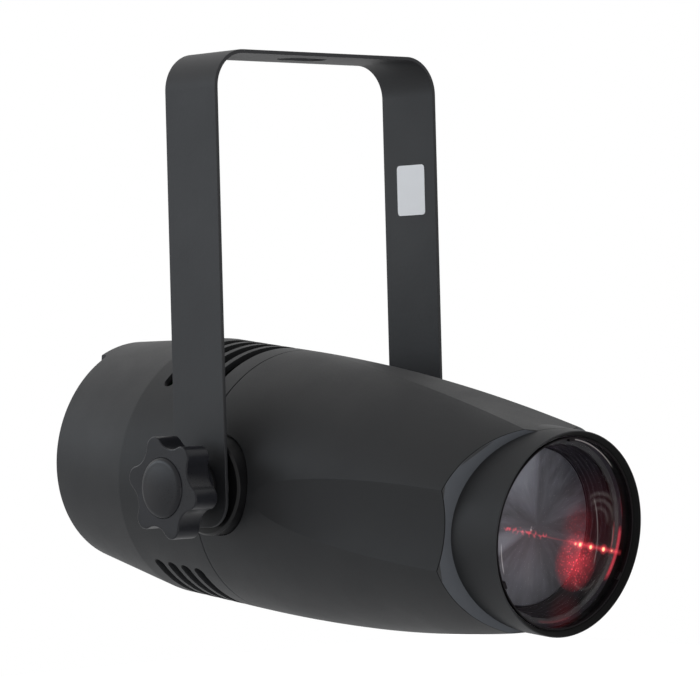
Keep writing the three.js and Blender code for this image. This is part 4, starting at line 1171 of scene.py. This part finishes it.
def lobed_radius(knob, turn):
    """Distance from the knob's axis to its outline in one direction."""
    step = TURN / knob.lobes
    centre = knob.tip_radius - knob.lobe_radius
    cos_half = math.cos(step * HALF)
    inner = knob.valley_radius
    square = centre ** 2 + inner ** 2 - 2 * centre * inner * cos_half - knob.lobe_radius ** 2
    valley = square / (2 * (knob.lobe_radius + centre * cos_half - inner))
    far = inner + valley
    meet = math.atan2(far * math.sin(step * HALF), far * cos_half - centre)
    limit = math.atan2(knob.lobe_radius * math.sin(meet), centre + knob.lobe_radius * math.cos(meet))
    local = (turn + step * HALF) % step - step * HALF
    if abs(local) <= limit:
        return centre * math.cos(local) + math.sqrt(knob.lobe_radius ** 2 - (centre * math.sin(local)) ** 2)
    across = step * HALF - abs(local)
    return far * math.cos(across) - math.sqrt(valley ** 2 - (far * math.sin(across)) ** 2)


def star_knob(name, side):
    """Disc drawn out to lobes, extruded, rounded, set on its hub and recessed for the cap."""
    knob = sizes("knob")
    back, face = reach(f"{name}_star_knob")
    root = face - knob.head_thickness
    groove, edge_width = knob.cap_groove, knob.edge
    piece = added(
        f"{name}_knob_lobed", "circle", vertices=knob.sides, radius=1, fill_type="NGON",
        location=(0, face, 0), rotation=(QUARTER, 0, 0),
    )
    for vertex in piece.data.vertices:
        turn = math.atan2(vertex.co.z, vertex.co.x)
        radius = lobed_radius(knob, turn + knob.phase)
        vertex.co.x = radius * math.cos(turn)
        vertex.co.z = radius * math.sin(turn)
    with editing(piece):
        bpy.ops.mesh.select_mode(type="FACE")
        extrude(0, root - face, 0)
        closed_up()
    rounded(piece, edge_width, 4, lambda edge: abs(run(edge).y) < NEAR)
    boolean(piece, turned("hub_tool", [
        (knob.hub_radius - edge_width * HALF, back), (knob.hub_radius, back + edge_width * HALF),
        (knob.hub_radius, root + edge_width),
    ], FACETS["hub"]), "UNION")
    seat = knob.cap_radius + groove
    boolean(piece, turned("seat_tool", [
        (seat, face - knob.cap_recess), (seat, face - groove), (seat + groove, face),
        (seat + groove, face + edge_width),
    ], FACETS["wide"]))
    bore = rod("stud_tool", knob.stud_radius + knob.stud_gap, back - MM, back + knob.stud_bore, FACETS["bore"])
    boolean(piece, bore)
    return moved(piece, outwards(side))


def knob_cap(name, side):
    """Domed cap with a rounded rim."""
    knob = sizes("knob")
    low = reach(f"{name}_knob_cap")[0]
    face = reach(f"{name}_star_knob")[1]
    steps = 8
    flat = knob.cap_radius - knob.cap_shoulder
    profile = [(knob.cap_radius, low)]
    for turn in (QUARTER * step / steps for step in range(steps)):
        profile.append((flat + knob.cap_shoulder * math.cos(turn), face + knob.cap_step * math.sin(turn)))
    profile += dome(flat, face + knob.cap_step, knob.cap_dome - knob.cap_step, steps)
    return moved(turned(f"{name}_cap_domed", profile, FACETS["wide"]), outwards(side))


def knob_stud(name, side):
    """Stud with a run of thread rings between its plain ends."""
    knob = sizes("knob")
    near, far = reach(f"{name}_knob_stud")
    pitch, radius = knob.thread_pitch, knob.stud_radius
    root = radius - knob.thread_depth
    profile = [(root, near), (radius, near + pitch * HALF)]
    place = near + pitch
    while place + pitch < far:
        profile += [(root, place), (radius, place + pitch * HALF)]
        place += pitch
    profile.append((radius, far))
    return moved(turned(f"{name}_stud_threaded", profile, FACETS["stud"]), outwards(side))


# Rear controls


def screw_head(node):
    """Shell screw with a cross recess in its head."""
    piece = copied(node, f"{node}_cross")
    places = [TO_BARREL @ vertex.co for vertex in piece.data.vertices]
    rear = max(place.y for place in places)
    axis = sum(places, Vector()) / len(places)
    wide, thin, deep = 2.0 * MM, 0.35 * MM, 0.9 * MM
    for half_x, half_z in ((wide, thin), (thin, wide)):
        low = (axis.x - half_x, rear - deep, axis.z - half_z)
        high = (axis.x + half_x, rear + deep, axis.z + half_z)
        boolean(piece, moved(block("cross_tool", low, high), BARREL))
    return piece


def socket_contacts():
    """Three round contact pins, slipped over the moulded posts of the input socket."""
    middle = middle_of("signal_in_socket")
    mouth = along_barrel("signal_in_socket")[1]
    circle, radius = 5 * MM, 1.28 * MM
    # Radius over the pin's own and depth below the socket's mouth
    steps = ((1, 14.9 * MM), (1, 3.4 * MM), (0.8, 2.9 * MM), (0.35, 2.6 * MM))
    pins = []
    for index in range(3):
        turn = QUARTER + TURN * index / 3
        place = (middle.x + circle * math.cos(turn), 0, middle.z + circle * math.sin(turn))
        pin = turned("contact_pin", [(radius * share, mouth - depth) for share, depth in steps], FACETS["pin"])
        pins.append(moved(pin, Matrix.Translation(place)))
    return moved(joined("signal_contacts", pins), BARREL)


def inlet_blades():
    """Three flat contact blades over the moulded posts of the mains inlet."""
    middle = middle_of("mains_inlet")
    mouth = along_barrel("mains_inlet")[1]
    pitch, rise, thick, tall, root, tip = (value * MM for value in (7, 2, 1.12, 2.37, 15.3, 4.2))
    blades = []
    for index in (-1, 0, 1):
        x = index * pitch
        z = middle.z + (-rise if index else rise)
        blade = block("blade", (x - thick, mouth - root, z - tall), (x + thick, mouth - tip, z + tall))
        blades.append(softened(blade, 0.35 * MM, 3))
    return moved(joined("inlet_contacts", blades), BARREL)


class PINSPOT_OT_yoke(bpy.types.Operator):
    """Bends the strap and sticks the blank label inside its arm"""

    bl_idname = "pinspot.yoke"
    bl_label = "Yoke"

    def execute(self, context):
        finish = sizes("finish")
        paint = powder_coat("black_powder_coat", finish.paint, finish.paint_roughness)
        settled(yoke_strap(), "yoke", paint, ["yoke_strap"], smooth=40)
        film = paper_film("blank_film", finish.label)
        settled(blank_label(), "yoke", film, smooth=40)
        return {"FINISHED"}


class PINSPOT_OT_shells(bpy.types.Operator):
    """Moulds the front and rear shell"""

    bl_idname = "pinspot.shells"
    bl_label = "Shells"

    def execute(self, context):
        finish = sizes("finish")
        plastic = moulded("black_shell_plastic", finish.shell, finish.shell_roughness, shell=sizes("shell"))
        settled(front_shell(), "head", plastic, ["front_shell"], smooth=7)
        settled(rear_shell(), "head", plastic, ["rear_shell"], smooth=7)
        return {"FINISHED"}


class PINSPOT_OT_lens_group(bpy.types.Operator):
    """Makes the retaining ring, the lens, the stepped holder and the collimator"""

    bl_idname = "pinspot.lens_group"
    bl_label = "Lens group"

    def execute(self, context):
        finish = sizes("finish")
        dull = moulded("dull_black_plastic", finish.funnel, 0.7, grain=6000.0, depth=0.0002 * MM, gloss=0.12)
        satin = moulded("satin_black_ring", finish.baffle, 0.4, depth=0.001 * MM, gloss=0.08)
        settled(retaining_ring(), "head", satin, ["lens_retaining_ring"])
        settled(front_lens(), "head", clear_glass("clear_lens", finish.glow), ["front_lens"])
        settled(collimator_holder(), "head", dull, ["collimator_holder"], smooth=25)
        cone = collimator_clear("collimator_painted_light_streaks")
        settled(collimator(), "head", cone, ["collimator_lens"])
        lit = glowing("lit_silicone", finish.glow, 3.0)
        settled(copied("led_emitter", "led_dome_lit"), "head", lit, ["led_emitter"])
        return {"FINISHED"}


class PINSPOT_OT_knobs(bpy.types.Operator):
    """Makes the pivot bosses, studs, star knobs and their caps"""

    bl_idname = "pinspot.knobs"
    bl_label = "Knobs"

    def execute(self, context):
        finish = sizes("finish")
        # The bosses' black is deepened as painted shade
        shell = moulded("boss_plastic_darkened_as_painted_shade", finish.boss, 0.38, gloss=0.2)
        gloss = moulded(
            "semi_gloss_knob", finish.knob, finish.knob_roughness, grain=1400.0, depth=0.008 * MM, gloss=0.2
        )
        steel = brushed("zinc_steel", (0.52, 0.53, 0.54), 0.32)
        black = moulded("blackened_washer", finish.boss, 0.4)
        for name, side in SIDES.items():
            knob = f"{name}_knob"
            settled(pivot_boss(name, side), "head", shell, [f"{name}_pivot_boss"], smooth=25)
            settled(star_knob(name, side), knob, gloss, [f"{name}_star_knob"], smooth=22)
            settled(knob_cap(name, side), knob, gloss, [f"{knob}_cap"])
            settled(knob_stud(name, side), knob, steel, [f"{knob}_stud"], smooth=20)
            washer = softened(copied(f"{knob}_washer", f"{name}_washer_turned"), 0.2 * MM)
            settled(washer, f"{name}_washer", black, [f"{knob}_washer"])
        return {"FINISHED"}


class PINSPOT_OT_rear_controls(bpy.types.Operator):
    """Dresses the panel with its window, buttons, sockets, inlet and screws"""

    bl_idname = "pinspot.rear_controls"
    bl_label = "Rear controls"

    def execute(self, context):
        finish = sizes("finish")
        flat = moulded("panel_black", finish.baffle, 0.58, grain=1500.0)
        gloss = moulded("socket_black", finish.knob, 0.3, grain=1500.0, depth=0.006 * MM)
        pad = rubbery("button_grey", (0.06, 0.06, 0.065))
        steel = brushed("contact_steel", (0.6, 0.6, 0.6), 0.25)
        smoke = moulded("smoked_window", (0.012, 0.014, 0.017), 0.08, depth=0.001 * MM)
        soft = 0.3 * MM
        for node, slot, material in (
            ("rear_panel", "panel_plastic", flat),
            ("display_window", "display_lens", smoke),
            ("signal_in_socket", "socket_plastic", gloss),
            ("signal_out_socket", "socket_plastic", gloss),
            ("mains_inlet", "socket_plastic", gloss),
        ):
            settled(softened(copied(node, f"{node}_edged"), soft * HALF), "head", material, [node])
        for key in ("menu", "down", "up", "enter"):
            piece = softened(copied(f"{key}_button", f"{key}_button_soft"), soft)
            settled(piece, f"{key}_key", pad, [f"{key}_button"])
        for node in (f"shell_screw_{index}" for index in range(1, 5)):
            settled(screw_head(node), "head", steel, [node])
        settled(socket_contacts(), "head", steel)
        settled(inlet_blades(), "head", steel)
        return {"FINISHED"}


class PINSPOT_OT_inside(bpy.types.Operator):
    """Gives the pieces inside the head their finishes"""

    bl_idname = "pinspot.inside"
    bl_label = "Inside"

    def execute(self, context):
        metal = brushed("bare_aluminium", (0.6, 0.61, 0.63), 0.42)
        board = circuit_board("green_board", (0.02, 0.12, 0.045), (0.6, 0.6, 0.5))
        finishes = {
            "lens_gasket": rubbery("gasket_rubber", (0.02, 0.02, 0.02)),
            "led_board": circuit_board("white_board", (0.7, 0.7, 0.68), (0.5, 0.45, 0.3)),
            "heatsink": metal,
            "chassis_bracket": metal,
            "display_module": board,
            "control_board": board,
            "driver_board": board,
            "transformer": moulded("yellow_tape", (0.55, 0.36, 0.04), 0.4, grain=500.0),
            "smoothing_capacitor": moulded("shrink_sleeve", (0.01, 0.014, 0.03), 0.3, grain=600.0),
            "filter_choke": brushed("enamelled_wire", (0.5, 0.2, 0.07), 0.3, (900.0, 900.0, 900.0)),
            "driver_chip": moulded("chip_epoxy", (0.02, 0.02, 0.02), 0.5),
        }
        for name in SIDES:
            finishes[f"{name}_friction_washer"] = finishes["lens_gasket"]
            finishes[f"{name}_threaded_insert"] = brushed(f"{name}_brass", (0.6, 0.42, 0.16), 0.3)
        for node, material in finishes.items():
            mesh = frame["nodes"][node].data
            mesh.materials.clear()
            mesh.materials.append(material)
        return {"FINISHED"}



# Stage


def pale_sweep(name):
    """Floor finish: pale and faintly mottled, white where the camera sees it unshadowed."""
    shader = Shader(name)
    tone = shader.mix(shader.noise(3.0, 3.0, 0.5), opaque((0.86, 0.86, 0.86)), opaque((0.9, 0.9, 0.9)))
    shine = (shader.rays("Camera", "Transmission") * 0.65).most(shader.rays("Glossy") * 0.25)
    return shader.set(Base_Color=tone, Roughness=0.85, Emission_Color=WHITE, Emission_Strength=shine)


def white_world(strength):
    """World that lights evenly and shows as white to the camera and in glossy surfaces."""
    world = bpy.data.worlds.new("white_room")
    bpy.context.scene.world = world
    wiring = Wiring(world)
    seen = wiring.rays("Camera", "Glossy", "Transmission")
    back = wiring.tree.nodes["Background"].inputs
    wiring.feed(back["Color"], WHITE)
    wiring.feed(back["Strength"], seen.rise(0.0, 1.0, strength, 1.0))


def add_camera(stage):
    """Camera at the photograph's angle, placed from the barrel's own axes."""
    flat = math.cos(stage.elevation)
    back = Vector((math.sin(stage.azimuth) * flat, -math.cos(stage.azimuth) * flat, math.sin(stage.elevation)))
    right = Vector((math.cos(stage.azimuth), math.sin(stage.azimuth), 0))
    up = back.cross(right)
    turn = (
        Matrix.Rotation(stage.yaw, 3, "Y")
        @ Matrix.Rotation(stage.pitch, 3, "X")
        @ Matrix.Rotation(stage.roll, 3, "Z")
    )
    rows = turn @ Matrix((right, -up, -back))
    axes = Matrix((rows[0], -rows[1], -rows[2])).transposed().to_4x4()
    camera = bpy.data.objects.new("camera", bpy.data.cameras.new("camera"))
    bpy.context.scene.collection.objects.link(camera)
    camera.matrix_world = BARREL @ Matrix.Translation(back * stage.distance) @ axes
    camera.data.sensor_width = 36
    camera.data.lens = stage.focal
    camera.data.clip_start = 0.05
    bpy.context.scene.camera = camera


def add_lamp(name, place, size, power, tone):
    """Soft lamp that is aimed at the middle of the light."""
    lamp = bpy.data.objects.new(name, bpy.data.lights.new(name, "AREA"))
    lamp.data.shape = "RECTANGLE"
    lamp.data.size, lamp.data.size_y = size
    lamp.data.energy = power
    lamp.data.color = tone
    lamp.location = place
    aim = Vector((0, 0, PIVOT.z)) - Vector(place)
    lamp.rotation_euler = aim.to_track_quat("-Z", "Y").to_euler()
    bpy.context.scene.collection.objects.link(lamp)


class PINSPOT_OT_stage(bpy.types.Operator):
    """Sets the floor, the lamps, the world and the camera"""

    bl_idname = "pinspot.stage"
    bl_label = "Stage"

    def execute(self, context):
        stage = sizes("stage")
        floor = added("pale_floor", "plane", size=6, location=(0, 0, -stage.floor_drop))
        floor.data.materials.append(pale_sweep("pale_floor"))
        # Place, width, height, share of the power and colour
        for name, place, width, height, share, tone in (
            ("key_lamp", (-0.05, 0.65, 0.3), 0.6, 0.6, 1.0, (1.0, 1.0, 1.0)),
            ("fill_lamp", (-0.15, -1.2, -0.4), 0.7, 0.3, stage.fill_share, (1.0, 1.0, 1.0)),
            ("side_lamp", (-0.95, 1.0, 0.18), 0.9, 0.4, stage.side_share, (0.80, 0.90, 1.0)),
        ):
            add_lamp(name, place, (width, height), stage.lamp_power * share, tone)
        white_world(stage.world)
        context.scene.view_settings.view_transform = "Standard"
        add_camera(stage)
        return {"FINISHED"}


OPERATORS = (
    PINSPOT_OT_stage,
    PINSPOT_OT_yoke,
    PINSPOT_OT_shells,
    PINSPOT_OT_lens_group,
    PINSPOT_OT_knobs,
    PINSPOT_OT_rear_controls,
    PINSPOT_OT_inside,
)


class PINSPOT_PT_panel(bpy.types.Panel):
    """Lists the light's groups of pieces and their sizes"""

    bl_idname = "PINSPOT_PT_panel"
    bl_label = "Pinspot Light"
    bl_space_type = "VIEW_3D"
    bl_region_type = "UI"
    bl_category = "Pinspot"

    def draw(self, context):
        for operator in OPERATORS:
            self.layout.operator(operator.bl_idname)
        for name, group in GROUPS.items():
            box = self.layout.box()
            box.label(text=name.replace("_", " ").title())
            for field in group.__annotations__:
                box.prop(getattr(context.scene, name), field)


CLASSES = (*GROUPS.values(), *OPERATORS, PINSPOT_PT_panel)


def register():
    for kind in CLASSES:
        bpy.utils.register_class(kind)
    for name, group in GROUPS.items():
        setattr(bpy.types.Scene, name, bpy.props.PointerProperty(type=group))


def unregister():
    for name in GROUPS:
        delattr(bpy.types.Scene, name)
    for kind in reversed(CLASSES):
        bpy.utils.unregister_class(kind)


def main():
    register()
    for operator in OPERATORS:
        family, name = operator.bl_idname.split(".")
        getattr(getattr(bpy.ops, family), name)()


if __name__ == "__main__":
    main()
